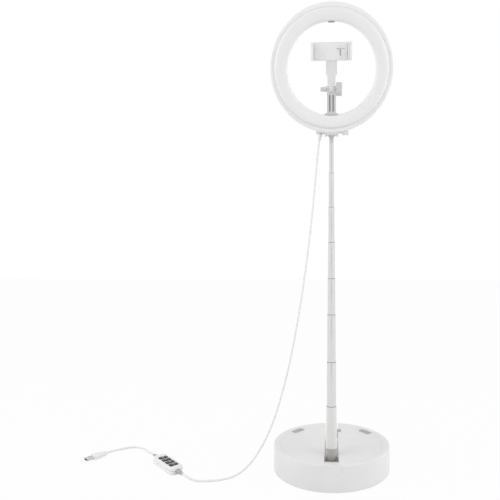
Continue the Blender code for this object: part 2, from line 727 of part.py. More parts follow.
def gland_base():
    """Where the strain relief meets the bracket's ear, in the mast's own frame."""
    x = -BRACKET_WIDTH / 2 - GLAND_EAR_LENGTH / 2
    y = GLAND_EAR_BEHIND + GLAND_EAR_DEPTH / 2 - PIVOT_AHEAD
    return Vector((x, y, PIVOT_HEIGHT - GLAND_EAR_DROP - CLEARANCE))


def gland_tip():
    lean = math.radians(GLAND_LEAN)
    return gland_base() + GLAND_LENGTH * Vector((-math.sin(lean), 0, -math.cos(lean)))


def cord_gland(mast_axis):
    wide = GLAND_TOP_DIAMETER / 2
    tip = GLAND_TIP_DIAMETER / 2
    sunk = wide * math.tan(math.radians(GLAND_LEAN))
    collar = sunk + GLAND_COLLAR_LENGTH
    profile = [(0, -sunk), (wide, -sunk), (wide, -collar), (tip, -GLAND_LENGTH), (0, -GLAND_LENGTH)]
    move = Matrix.Translation(gland_base()) @ Matrix.Rotation(math.radians(GLAND_LEAN), 4, "Y")
    return place(turned("cord_gland", profile, SMALL_STEPS, move=move), "pale_rubber", mast_axis)


def tilt_bolt(mast_axis):
    half = BRACKET_WIDTH / 2 + CLEARANCE
    shank = TILT_BOLT_DIAMETER / 2
    head = TILT_BOLT_HEAD_DIAMETER / 2
    tip = half + KNOB_COLLAR_LENGTH + TILT_BOLT_BITE
    profile = [(0, tip), (shank, tip), (shank, -half), (head, -half)]
    profile += [(head, -half - TILT_BOLT_HEAD_HEIGHT), (0, -half - TILT_BOLT_HEAD_HEIGHT)]
    move = along_x(-PIVOT_AHEAD, PIVOT_HEIGHT)
    return place(turned("tilt_bolt", profile, SMALL_STEPS, move=move), "steel", mast_axis)


def thumb_knob(name, diameter, lobes, depth, start, collar, length, bolt_diameter, bolt_end):
    """A lobed grip, with a collar towards the joint and a blind hole for its bolt."""
    grip = start + collar
    made = slab(name, lobed(diameter, lobes, depth), grip, grip + length, ALONG_X, depth, segments=1)
    if collar:
        fuse(made, rod("collar", KNOB_COLLAR_DIAMETER, start, grip + KNOB_COLLAR_SUNK, move=ALONG_X))
    bore = bolt_diameter + 2 * PIN_CLEARANCE
    return cut(made, rod("bolt_hole", bore, start - length, bolt_end + CLEARANCE, move=ALONG_X))


def tilt_knob(tilt_axis):
    start = BRACKET_WIDTH / 2 + CLEARANCE
    bolt_end = start + KNOB_COLLAR_LENGTH + TILT_BOLT_BITE
    made = thumb_knob(
        "tilt_knob",
        KNOB_DIAMETER,
        KNOB_LOBES,
        KNOB_LOBE_DEPTH,
        start,
        KNOB_COLLAR_LENGTH,
        KNOB_LENGTH,
        TILT_BOLT_DIAMETER,
        bolt_end,
    )
    return place(made, "white_plastic", tilt_axis)


# Ring, drawn about the tilt axis: X across, Y up the ring's plane, Z out of its lit face

RING_MOVE = Matrix.Translation((0, RING_CENTRE_UP, RING_BEHIND_GAP))
UP_MOVE = Matrix.Translation((0, 0, HOLDER_FRONT)) @ ALONG_Y.inverted()


def ring_casing(tilt_axis):
    outer = RING_RADIUS
    inner = OPENING_RADIUS
    wall = CASING_WALL
    rim = outer - CASING_RIM_WIDTH
    lip = CASING_DEPTH - CASING_RIM_LIP
    step = CASING_DEPTH - CASING_INNER_STEP
    profile = [(rim, CASING_DEPTH)]
    profile += arc((outer - CASING_RIM_RADIUS, CASING_DEPTH - CASING_RIM_RADIUS), CASING_RIM_RADIUS, 90, 0, 2)
    profile += arc((outer - CASING_REAR_RADIUS, CASING_REAR_RADIUS), CASING_REAR_RADIUS, 0, -90)
    profile += arc((inner + CASING_INNER_RADIUS, CASING_INNER_RADIUS), CASING_INNER_RADIUS, 270, 180, 2)
    profile += [(inner, step), (inner + wall, step), (inner + wall, CASING_INNER_RADIUS)]
    profile += [(inner + CASING_INNER_RADIUS, wall), (outer - CASING_REAR_RADIUS, wall)]
    profile += [(outer - wall, CASING_REAR_RADIUS), (outer - wall, lip), (rim, lip)]
    made = turned("ring_casing", profile, RING_STEPS, True, RING_MOVE)
    socket = SOCKET_DIAMETER + 2 * CLEARANCE
    cut(made, rod("socket_hole", socket, RING_CENTRE_UP, OPENING_TOP_UP + 2 * wall, move=UP_MOVE))
    cut(made, rod("screw_hole", SCREW_HOLE, OPENING_BOTTOM_UP - 2 * wall, RING_CENTRE_UP, move=UP_MOVE))
    return place(made, "white_plastic", tilt_axis)


def ring_diffuser(tilt_axis):
    outer = RING_RADIUS - CASING_RIM_WIDTH - CLEARANCE
    inner = OPENING_RADIUS
    wall = DIFFUSER_WALL
    lip = CASING_DEPTH - CASING_RIM_LIP - CLEARANCE
    edge = CASING_DEPTH - CASING_INNER_STEP + CLEARANCE
    flange = RING_RADIUS - CASING_WALL - CLEARANCE

    def crowned(shrink, steps):
        points = []
        for i in range(steps + 1):
            angle = math.pi * i / steps
            middle = (outer + inner) / 2
            half = (outer - inner) / 2 - shrink
            height = (DIFFUSER_CROWN - shrink) * math.sin(angle) ** CROWN_FULLNESS
            points.append((middle - half * math.cos(angle), edge + height))
        return points

    profile = crowned(0, CROWN_STEPS) + [(outer, lip), (flange, lip), (flange, lip - DIFFUSER_FLANGE)]
    profile += [(outer - wall, lip - DIFFUSER_FLANGE)] + crowned(wall, CROWN_INSIDE_STEPS)[::-1]
    made = turned("ring_diffuser", profile, RING_STEPS, True, RING_MOVE)
    return place(made, "diffuser", tilt_axis)


def led_board(tilt_axis):
    """A flat ring whose front face has one raised emitter in every other sector."""
    inner = OPENING_RADIUS + CASING_INNER_RADIUS + BOARD_MARGIN
    outer = RING_RADIUS - CASING_REAR_RADIUS - BOARD_MARGIN
    bottom = CASING_WALL + CLEARANCE
    middle = (inner + outer) / 2
    radii = (inner, middle - LED_LENGTH / 2, middle + LED_LENGTH / 2, outer)
    builder = bmesh.new()
    count = 2 * LED_COUNT
    grid = []
    for i in range(count):
        angle = 2 * math.pi * i / count
        grid.append([builder.verts.new((r * math.cos(angle), r * math.sin(angle), bottom)) for r in radii])
    for i in range(count):
        here = grid[i]
        after = grid[(i + 1) % count]
        for j in range(len(radii) - 1):
            builder.faces.new((here[j], after[j], after[j + 1], here[j + 1]))
    pushed = bmesh.ops.extrude_face_region(builder, geom=builder.faces[:], use_keep_orig=True)
    tops = [item for item in pushed["geom"] if isinstance(item, bmesh.types.BMVert)]
    bmesh.ops.translate(builder, vec=(0, 0, BOARD_THICKNESS), verts=tops)
    faces = [item for item in pushed["geom"] if isinstance(item, bmesh.types.BMFace)]
    faces.sort(key=lambda face: math.atan2(face.calc_center_median().y, face.calc_center_median().x))
    band = [face for face in faces if abs(face.calc_center_median().xy.length - middle) < LED_LENGTH / 2]
    for face in band[::2]:
        raised = bmesh.ops.extrude_discrete_faces(builder, faces=[face])["faces"]
        corners = list({vert for item in raised for vert in item.verts})
        bmesh.ops.translate(builder, vec=(0, 0, LED_HEIGHT), verts=corners)
    return place(as_object("led_board", builder, RING_MOVE), "white_plastic", tilt_axis)


def ring_lug(tilt_axis):
    """The ring's half of the tilt hinge: an eye between the cheeks, flared onto the casing's back."""
    eye = LUG_EYE_DIAMETER / 2
    face = RING_BEHIND_GAP - CLEARANCE
    half = LUG_WIDTH / 2
    made = rod("ring_lug", LUG_EYE_DIAMETER, -half, half, TUBE_STEPS, ALONG_X)
    flare = arc((0, 0), eye - CLEARANCE, LUG_WRAP_ANGLE, 270)
    flare += [(LUG_REACH, face - LUG_TIP_THICKNESS), (LUG_REACH, face), (LUG_SEAT_START, face)]
    fuse(made, slab("flare", flare, -half + CLEARANCE, half - CLEARANCE, ALONG_X))
    cut(made, rod("bore", TILT_BOLT_HOLE, -LUG_WIDTH, LUG_WIDTH, move=ALONG_X))
    return place(made, "white_plastic", tilt_axis)


def accessory_socket(tilt_axis):
    """A threaded insert through the top of the opening's wall, with its flange on the open side."""
    seat = OPENING_TOP_UP - SOCKET_FLANGE_DIAMETER**2 / (8 * OPENING_RADIUS) - CLEARANCE
    flange = SOCKET_FLANGE_DIAMETER / 2
    barrel = SOCKET_DIAMETER / 2
    bore = SOCKET_BORE / 2
    bottom = seat - SOCKET_FLANGE_HEIGHT
    top = seat + SOCKET_LENGTH
    profile = [(barrel, top), (barrel, seat), (flange, seat), (flange, bottom), (bore, bottom), (bore, top)]
    return place(turned("accessory_socket", profile, SMALL_STEPS, True, UP_MOVE), "grey_rubber", tilt_axis)


# Phone holder: the stem is drawn about the tilt axis, the rest about the holder's own hinge


def holder_stem(tilt_axis):
    half = STEM_WIDTH / 2
    depth = STEM_DEPTH / 2
    front = HOLDER_FRONT
    floor = OPENING_BOTTOM_UP
    eye = HOLDER_EYE_DIAMETER / 2
    fork = HOLDER_HINGE_UP - eye - 2 * CLEARANCE
    flange_low = (-STEM_FLANGE_WIDTH / 2, floor - STEM_FLANGE_HEIGHT, front - STEM_FLANGE_DEPTH / 2)
    flange_high = (STEM_FLANGE_WIDTH / 2, floor + STEM_FLANGE_HEIGHT, front + STEM_FLANGE_DEPTH / 2)
    made = block("holder_stem", flange_low, flange_high)
    post = block("post", (-half, floor, front - depth), (half, HOLDER_HINGE_UP, front + depth))
    hinge = along_x(HOLDER_HINGE_UP, front)
    fuse(made, post, rod("knuckle", 2 * eye, -half + PIN_CLEARANCE, half - PIN_CLEARANCE, move=hinge))
    opening = rod("opening", 2 * (OPENING_RADIUS - CLEARANCE), 0, 2 * front, RING_STEPS)
    opening.data.transform(Matrix.Translation((0, RING_CENTRE_UP, 0)))
    keep(made, opening)
    gap = HOLDER_TONGUE_WIDTH / 2 + CLEARANCE
    fork_high = (gap, HOLDER_HINGE_UP + 2 * eye, front + 2 * eye)
    cut(made, block("fork_gap", (-gap, fork, front - 2 * eye), fork_high))
    cut(made, rod("bolt_hole", HOLDER_BOLT_HOLE, -STEM_WIDTH, STEM_WIDTH, move=hinge))
    cut(made, rod("screw_hole", SCREW_HOLE, 0, floor + SCREW_BITE + CLEARANCE, move=UP_MOVE))
    groove_low = floor + STEM_FLANGE_HEIGHT + STEM_GROOVE_MARGIN
    groove_high = fork - STEM_GROOVE_MARGIN
    for side in (-1, 1):
        middle = side * STEM_GROOVE_SPACING / 2
        low = (middle - STEM_GROOVE_WIDTH / 2, groove_low, front + depth - STEM_GROOVE_DEPTH)
        high = (middle + STEM_GROOVE_WIDTH / 2, groove_high, front + STEM_DEPTH)
        cut(made, block("groove", low, high))
    return place(made, "white_plastic", tilt_axis)


def holder_screw(tilt_axis):
    """Holds the stem from inside the casing's trough."""
    seat = OPENING_BOTTOM_UP - CASING_WALL - CLEARANCE
    head = SCREW_HEAD_DIAMETER / 2
    shank = SCREW_DIAMETER / 2
    tip = OPENING_BOTTOM_UP + SCREW_BITE
    bottom = seat - SCREW_HEAD_HEIGHT
    profile = [(0, tip), (shank, tip), (shank, seat), (head, seat), (head, bottom), (0, bottom)]
    return place(turned("holder_screw", profile, SMALL_STEPS, move=UP_MOVE), "steel", tilt_axis)


def holder_bolt(tilt_axis):
    start = STEM_WIDTH / 2 + CLEARANCE
    shank = HOLDER_BOLT_DIAMETER / 2
    head = HOLDER_BOLT_HEAD_DIAMETER / 2
    tip = start + HOLDER_BOLT_BITE
    end = -start - HOLDER_BOLT_HEAD_LENGTH
    profile = [(0, tip), (shank, tip), (shank, -start), (head, -start)]
    profile += [(HOLDER_BOLT_TIP_DIAMETER / 2, end), (0, end)]
    move = along_x(HOLDER_HINGE_UP, HOLDER_FRONT)
    return place(turned("holder_bolt", profile, SMALL_STEPS, move=move), "white_plastic", tilt_axis)


def holder_knob(holder_axis):
    start = STEM_WIDTH / 2 + CLEARANCE
    made = thumb_knob(
        "holder_knob",
        HOLDER_KNOB_DIAMETER,
        HOLDER_KNOB_LOBES,
        HOLDER_KNOB_LOBE_DEPTH,
        start,
        0,
        HOLDER_KNOB_LENGTH,
        HOLDER_BOLT_DIAMETER,
        start + HOLDER_BOLT_BITE,
    )
    return place(made, "white_plastic", holder_axis)


def holder_neck(holder_axis):
    eye = HOLDER_EYE_DIAMETER / 2
    shoulder = eye + NECK_SHOULDER_GAP
    tongue = HOLDER_TONGUE_WIDTH / 2
    side = [
        (tongue - CLEARANCE, 0),
        (tongue - CLEARANCE, shoulder),
        (NECK_WIDTH / 2, shoulder),
        (NECK_WIDTH / 2, NECK_TAPER_START),
        (NECK_TOP_WIDTH / 2, NECK_TAPER_END),
        (NECK_TOP_WIDTH / 2, NECK_LENGTH),
    ]
    outline = side + [(-x, y) for x, y in side[::-1]]
    made = slab("holder_neck", outline, -NECK_DEPTH / 2, NECK_DEPTH / 2)
    fuse(made, rod("eye", 2 * eye, -tongue, tongue, move=ALONG_X))
    cut(made, rod("bore", HOLDER_BOLT_HOLE, -STEM_WIDTH, STEM_WIDTH, move=ALONG_X))
    return place(made, "white_plastic", holder_axis)


CLAMP_TOP = CLAMP_BOTTOM + CLAMP_HEIGHT
CLAMP_LEFT = -CLAMP_WIDTH / 2
CLAMP_RIGHT = CLAMP_WIDTH / 2
JAW_LEFT = CLAMP_RIGHT - JAW_BLOCK_WIDTH
BED_FRONT = CLAMP_DEPTH / 2
LIP_FRONT = BED_FRONT + CLAMP_LIP_REACH
CHANNEL_HEIGHT = JAW_TONGUE_HEIGHT + JAW_SPRING_DIAMETER + 3 * CLEARANCE
CHANNEL_BOTTOM = CLAMP_BOTTOM + (CLAMP_HEIGHT - CHANNEL_HEIGHT) / 2
CHANNEL_LEFT = CLAMP_LEFT + CHANNEL_END_WALL


def jaw_lip(name, outer, inner):
    """The part of a jaw that stands forward of the bed, a hair inside the block that carries it."""
    low = (min(outer, inner), CLAMP_BOTTOM + CLEARANCE, 0)
    high = (max(outer, inner), CLAMP_TOP - CLEARANCE, LIP_FRONT)
    return block(name, low, high, CLAMP_BEVEL / 2)


def clamp_body(holder_axis):
    low = (CLAMP_LEFT, CLAMP_BOTTOM, -BED_FRONT)
    high = (JAW_LEFT - CLEARANCE, CLAMP_TOP, BED_FRONT)
    made = block("clamp_body", low, high, CLAMP_BEVEL)
    fuse(made, jaw_lip("lip", CLAMP_LEFT + PIN_CLEARANCE, CLAMP_LEFT + CLAMP_LIP_THICKNESS))
    depth = JAW_TONGUE_DEPTH / 2 + CLEARANCE
    channel_low = (CHANNEL_LEFT, CHANNEL_BOTTOM, -depth)
    channel = block("channel", channel_low, (CLAMP_WIDTH, CHANNEL_BOTTOM + CHANNEL_HEIGHT, depth))
    middle = (JAW_LEFT - GUIDE_SLOT_FROM_JAW, (CLAMP_BOTTOM + CLAMP_TOP) / 2)
    slot_outline = rounded_rectangle(GUIDE_SLOT_WIDTH, GUIDE_SLOT_HEIGHT, GUIDE_SLOT_CORNER, middle)
    cut(made, channel, slab("guide_slot", slot_outline, 0, CLAMP_DEPTH))
    return place(made, "white_plastic", holder_axis)


def sliding_jaw(holder_axis):
    low = (JAW_LEFT, CLAMP_BOTTOM, -BED_FRONT)
    made = block("sliding_jaw", low, (CLAMP_RIGHT, CLAMP_TOP, BED_FRONT), CLAMP_BEVEL)
    fuse(made, jaw_lip("lip", CLAMP_RIGHT - PIN_CLEARANCE, CLAMP_RIGHT - CLAMP_LIP_THICKNESS))
    half = JAW_TONGUE_DEPTH / 2
    low = (JAW_LEFT - JAW_TRAVEL - JAW_GUIDED_LENGTH, CHANNEL_BOTTOM + CLEARANCE, -half)
    high = (JAW_LEFT + JAW_BLOCK_WIDTH / 2, CHANNEL_BOTTOM + CLEARANCE + JAW_TONGUE_HEIGHT, half)
    fuse(made, block("tongue", low, high))
    return place(made, "white_plastic", holder_axis)


def jaw_spring(holder_axis):
    up = CHANNEL_BOTTOM + JAW_TONGUE_HEIGHT + 2 * CLEARANCE + JAW_SPRING_DIAMETER / 2
    start = CHANNEL_LEFT + CLEARANCE
    made = rod("jaw_spring", JAW_SPRING_DIAMETER, start, JAW_LEFT - CLEARANCE, move=along_x(up, 0))
    return place(made, "steel", holder_axis)


def lip_pad(name, inner, sign, holder_axis):
    start = inner + sign * CLEARANCE
    ends = sorted((start, start + sign * LIP_PAD_THICKNESS))
    low = (ends[0], CLAMP_BOTTOM + LIP_PAD_MARGIN, BED_FRONT + LIP_PAD_MARGIN)
    high = (ends[1], CLAMP_TOP - LIP_PAD_MARGIN, LIP_FRONT - LIP_PAD_MARGIN)
    return place(block(name, low, high), "pale_rubber", holder_axis)


def bed_pad(holder_axis):
    left = CLAMP_LEFT + CLAMP_LIP_THICKNESS + LIP_PAD_THICKNESS + 2 * CLEARANCE
    bottom = BED_FRONT + CLEARANCE
    low = (left, CLAMP_BOTTOM + LIP_PAD_MARGIN, bottom)
    high = (left + BED_PAD_WIDTH, CLAMP_TOP - LIP_PAD_MARGIN, bottom + BED_PAD_THICKNESS)
    return place(block("bed_pad", low, high), "pale_rubber", holder_axis)


# Remote on the cord, drawn along +X from where the cord enters it

REMOTE_FRONT = RELIEF_LENGTH + CLEARANCE
REMOTE_MIDDLE = REMOTE_FRONT + REMOTE_LENGTH / 2
REMOTE_END = REMOTE_FRONT + REMOTE_LENGTH + CLEARANCE + RELIEF_LENGTH
REMOTE_CORD_HEIGHT = REMOTE_FLOOR_GAP + REMOTE_HEIGHT / 2
REMOTE_BOTTOM = REMOTE_FLOOR_GAP
REMOTE_SEAM = REMOTE_BOTTOM + REMOTE_SPLIT
REMOTE_TOP = REMOTE_BOTTOM + REMOTE_HEIGHT


def remote_outline(inset):
    radius = REMOTE_CORNER_RADIUS - inset
    return rounded_rectangle(REMOTE_LENGTH - 2 * inset, REMOTE_WIDTH - 2 * inset, radius, (REMOTE_MIDDLE, 0))


def key_centre(number):
    return REMOTE_MIDDLE + KEY_OFFSET + (number - (KEY_COUNT + 1) / 2) * KEY_PITCH


def key_box(name, number, gap, bottom, top):
    x = key_centre(number)
    low = (x - KEY_LENGTH / 2 - gap, -KEY_WIDTH / 2 - gap, bottom)
    return block(name, low, (x + KEY_LENGTH / 2 + gap, KEY_WIDTH / 2 + gap, top))


def remote_bottom(remote_axis):
    made = slab("remote_bottom", remote_outline(0), REMOTE_BOTTOM, REMOTE_SEAM, bevel=REMOTE_BEVEL)
    pocket_floor = REMOTE_SEAM - REMOTE_BOARD_THICKNESS - CLEARANCE
    cut(made, slab("pocket", remote_outline(REMOTE_WALL), pocket_floor, 2 * REMOTE_TOP))
    return place(made, "white_plastic", remote_axis)


def remote_top(remote_axis):
    start = REMOTE_SEAM + CLEARANCE
    made = slab("remote_top", remote_outline(0), start, REMOTE_TOP, bevel=REMOTE_BEVEL)
    hollow = slab("hollow", remote_outline(REMOTE_WALL), 0, REMOTE_TOP - REMOTE_WALL)
    holes = [key_box("hole", n, KEY_GAP, REMOTE_SEAM, 2 * REMOTE_TOP) for n in range(1, KEY_COUNT + 1)]
    cut(made, hollow, *holes)
    return place(made, "white_plastic", remote_axis)


def remote_board(remote_axis):
    bottom = REMOTE_SEAM - REMOTE_BOARD_THICKNESS
    made = slab("remote_board", remote_outline(REMOTE_WALL + CLEARANCE), bottom, REMOTE_SEAM)
    return place(made, "green_board", remote_axis)


def remote_key(number, remote_axis):
    bottom = REMOTE_SEAM + CLEARANCE + KEY_TRAVEL
    made = key_box(f"button_{number}", number, 0, bottom, REMOTE_TOP + KEY_RISE)
    return place(made, "black_key", remote_axis)


def relief(name, start, sign, remote_axis):
    """A ribbed sleeve that tapers away from the remote. Its wide end is at start."""
    profile = [(0, 0), (RELIEF_WIDE / 2, 0)]
    pitch = RELIEF_LENGTH / RELIEF_RIBS
    for i in range(RELIEF_RIBS):
        wide = RELIEF_WIDE + (RELIEF_NARROW - RELIEF_WIDE) * (i + 0.5) / RELIEF_RIBS
        crest = wide / 2
        root = crest - RELIEF_RIB_DEPTH
        groove = i + RELIEF_CREST_SHARE + RELIEF_FLANK_SHARE
        profile += [(crest, (i + RELIEF_CREST_SHARE) * pitch), (root, groove * pitch)]
        profile += [(root, (groove + RELIEF_ROOT_SHARE) * pitch)]
    profile += [(RELIEF_NARROW / 2, RELIEF_LENGTH), (0, RELIEF_LENGTH)]
    points = [(radius, sign * height) for radius, height in profile]
    move = Matrix.Translation((start, 0, REMOTE_CORD_HEIGHT)) @ ALONG_X
    return place(turned(name, points, RELIEF_STEPS, move=move), "grey_relief", remote_axis)


# Plug, drawn along +X from where the cord enters it

PLUG_MIDDLE_HEIGHT = REMOTE_FLOOR_GAP + PLUG_BODY_HEIGHT / 2
PLUG_SEAT = PLUG_BODY_LENGTH - PLUG_SHELL_SEAT


def plug_section(name, width, height, start, end):
    low = (start, -width / 2, PLUG_MIDDLE_HEIGHT - height / 2)
    return block(name, low, (end, width / 2, PLUG_MIDDLE_HEIGHT + height / 2))


def plug_body(plug_axis):
    tail = PLUG_BODY_TAIL_WIDTH / 2
    side = PLUG_BODY_WIDTH / 2
    outline = [(0, -tail), (PLUG_BODY_TAIL_LENGTH, -tail)]
    outline += [(PLUG_BODY_SHOULDER, -side), (PLUG_BODY_LENGTH, -side)]
    outline += [(x, -y) for x, y in outline[::-1]]
    bottom = PLUG_MIDDLE_HEIGHT - PLUG_BODY_HEIGHT / 2
    made = slab("plug_body", outline, bottom, bottom + PLUG_BODY_HEIGHT, bevel=PLUG_BODY_BEVEL)
    width = PLUG_SHELL_WIDTH + 2 * CLEARANCE
    height = PLUG_SHELL_HEIGHT + 2 * CLEARANCE
    cut(made, plug_section("seat", width, height, PLUG_SEAT - CLEARANCE, 2 * PLUG_BODY_LENGTH))
    return place(made, "white_plastic", plug_axis)


def plug_shell(plug_axis):
    end = PLUG_SEAT + PLUG_SHELL_LENGTH
    wall = 2 * PLUG_SHELL_WALL
    made = plug_section("plug_shell", PLUG_SHELL_WIDTH, PLUG_SHELL_HEIGHT, PLUG_SEAT, end)
    bore = plug_section("bore", PLUG_SHELL_WIDTH - wall, PLUG_SHELL_HEIGHT - wall, 0, 2 * end)
    return place(cut(made, bore), "steel", plug_axis)


def plug_tongue(plug_axis):
    half = PLUG_SHELL_WIDTH / 2 - PLUG_SHELL_WALL - CLEARANCE
    top = PLUG_MIDDLE_HEIGHT + PLUG_SHELL_HEIGHT / 2 - PLUG_SHELL_WALL - CLEARANCE
    end = PLUG_SEAT + PLUG_SHELL_LENGTH - PLUG_TONGUE_INSET
    made = block("plug_tongue", (PLUG_SEAT, -half, top - PLUG_TONGUE_THICKNESS), (end, half, top))
    return place(made, "white_plastic", plug_axis)


# Cord


def smooth_route(points, spacing):
    """Evenly spaced points on a smooth curve through the given ones."""
    knots = [Vector(point) for point in points]
    knots = [2 * knots[0] - knots[1]] + knots + [2 * knots[-1] - knots[-2]]
    fine = []
    pieces = 24
    for before, start, end, after in zip(knots, knots[1:], knots[2:], knots[3:]):
        reach = (end - start).length
        leave = (end - before).normalized() * reach
        arrive = (after - start).normalized() * reach
        for i in range(pieces):
            t = i / pieces
            fine.append(
                start * (2 * t**3 - 3 * t**2 + 1)
                + leave * (t**3 - 2 * t**2 + t)
                + end * (3 * t**2 - 2 * t**3)
                + arrive * (t**3 - t**2)
            )
    fine.append(knots[-2])
    runs = [0.0]
    for start, end in zip(fine, fine[1:]):
        runs.append(runs[-1] + (end - start).length)
    count = round(runs[-1] / spacing)
    even = []
    j = 0
    for i in range(count + 1):
        target = runs[-1] * i / count
        while j < len(fine) - 2 and runs[j + 1] < target:
            j += 1
        even.append(fine[j].lerp(fine[j + 1], (target - runs[j]) / (runs[j + 1] - runs[j])))
    return even


def cord_tube(name, points):
    curve = bpy.data.curves.new(name, "CURVE")
    curve.dimensions = "3D"
    curve.bevel_depth = CORD_DIAMETER / 2
    curve.bevel_resolution = 2
    curve.use_fill_caps = True
    spline = curve.splines.new("POLY")
    spline.points.add(len(points) - 1)
    for knot, point in zip(spline.points, points):
        knot.co = (*point, 1.0)
    curve.materials.append(material(name, *FINISHES["white_plastic"]))
    made = bpy.data.objects.new(name, curve)
    bpy.context.scene.collection.objects.link(made)
    length = sum((end - start).length for start, end in zip(points, points[1:]))
    print(f"{name}: {length:.3f} m of cord, {len(points)} points")
    return made


def heading(angle):
    return Vector((math.cos(angle), math.sin(angle), 0))


def cords():
    """The drop that moves with the mast, the rest of the way to the remote, and the tail to the plug."""
    straight = 3 * CORD_DIAMETER
    lean = math.radians(GLAND_LEAN)
    down = Vector((-math.sin(lean), 0, -math.cos(lean)))
    tip = Vector((0, FOLD_Y, FOLD_Z)) + gland_tip() + CLEARANCE * down
    remote_in = Vector((*REMOTE_START, REMOTE_CORD_HEIGHT)) - CLEARANCE * heading(REMOTE_ANGLE)
    remote_out = remote_in + (REMOTE_END + 2 * CLEARANCE) * heading(REMOTE_ANGLE)
    plug_in = Vector((*PLUG_START, PLUG_MIDDLE_HEIGHT)) - CLEARANCE * heading(PLUG_ANGLE)
    first = [tip, tip + straight * down, *DROP_ROUTE, *FLOOR_ROUTE]
    first += [remote_in - straight * heading(REMOTE_ANGLE), remote_in]
    run = smooth_route(first, CORD_POINT_SPACING)
    join = min(range(len(run)), key=lambda i: (run[i] - Vector(DROP_ROUTE[-1])).length)
    cord_tube("cord_drop", run[: join + 1])
    rest = run[join:]
    rest[0] = rest[0] + CLEARANCE * (rest[1] - rest[0]).normalized()
    cord_tube("cord_floor", rest)
    tail = [remote_out, remote_out + straight * heading(REMOTE_ANGLE), *TAIL_ROUTE]
    tail += [plug_in - straight * heading(PLUG_ANGLE), plug_in]
    cord_tube("cord_tail", smooth_route(tail, CORD_POINT_SPACING))


# Assembly

fold_axis = axis_empty("fold_axis", (0, FOLD_Y, FOLD_Z))
mast_axis = axis_empty("mast_axis", (0, 0, 0), parent=fold_axis)
pivot_axis = axis_empty("pivot_axis", (0, -PIVOT_AHEAD, PIVOT_HEIGHT), parent=mast_axis)
tilt_axis = axis_empty("tilt_axis", (0, 0, 0), (math.radians(90 + RING_TILT), 0, 0), pivot_axis)
holder_axis = axis_empty("holder_axis", (0, HOLDER_HINGE_UP, HOLDER_FRONT), parent=tilt_axis)
remote_axis = axis_empty("remote_axis", (*REMOTE_START, 0), (0, 0, REMOTE_ANGLE))
plug_axis = axis_empty("plug_axis", (*PLUG_START, 0), (0, 0, PLUG_ANGLE))

base_housing()
base_plate()
place(rod("foot_pad", FOOT_DIAMETER, 0, FOOT_THICKNESS, BASE_STEPS), "grey_rubber")
counterweight("left", -1)
counterweight("right", 1)
slot_liner()
hinge_pin()
for index, post_angle in enumerate(POST_ANGLES, 1):
    base_screw(index, post_angle)
for rest_side, rest_angle in REST_ANGLES.items():
    ring_rest(rest_side, rest_angle)
mast_clip()
release_button()
release_spring()

mast_knuckle(fold_axis)
mast_sleeve(fold_axis)
for tube_number in range(1, len(TUBE_VISIBLE_LENGTHS) + 1):
    mast_tube(tube_number, mast_axis)
head_bracket(mast_axis)
cord_gland(mast_axis)
tilt_bolt(mast_axis)
tilt_knob(pivot_axis)

ring_casing(tilt_axis)
ring_diffuser(tilt_axis)
led_board(tilt_axis)
ring_lug(tilt_axis)
accessory_socket(tilt_axis)

holder_stem(tilt_axis)
holder_screw(tilt_axis)
holder_bolt(tilt_axis)
holder_knob(holder_axis)
holder_neck(holder_axis)
clamp_body(holder_axis)
sliding_jaw(holder_axis)
jaw_spring(holder_axis)
lip_pad("fixed_pad", CLAMP_LEFT + CLAMP_LIP_THICKNESS, 1, holder_axis)
lip_pad("moving_pad", CLAMP_RIGHT - CLAMP_LIP_THICKNESS, -1, holder_axis)
bed_pad(holder_axis)

remote_bottom(remote_axis)
remote_top(remote_axis)
remote_board(remote_axis)
for key_number in range(1, KEY_COUNT + 1):
    remote_key(key_number, remote_axis)
relief("relief_in", RELIEF_LENGTH, -1, remote_axis)
relief("relief_out", REMOTE_FRONT + REMOTE_LENGTH + CLEARANCE, 1, remote_axis)
plug_body(plug_axis)
plug_shell(plug_axis)
plug_tongue(plug_axis)
cords()
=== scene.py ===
# %% [markdown]
# # A folding ring light
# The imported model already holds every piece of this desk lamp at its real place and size. This lesson
# dresses it: each plain solid gets a finer shape, rounded edges and a surface that looks like its stuff.
# Everything is in metres, +Z is up, and the lamp shines towards -Y.

import json
import math

import bmesh
import bpy
from mathutils import Matrix, Vector


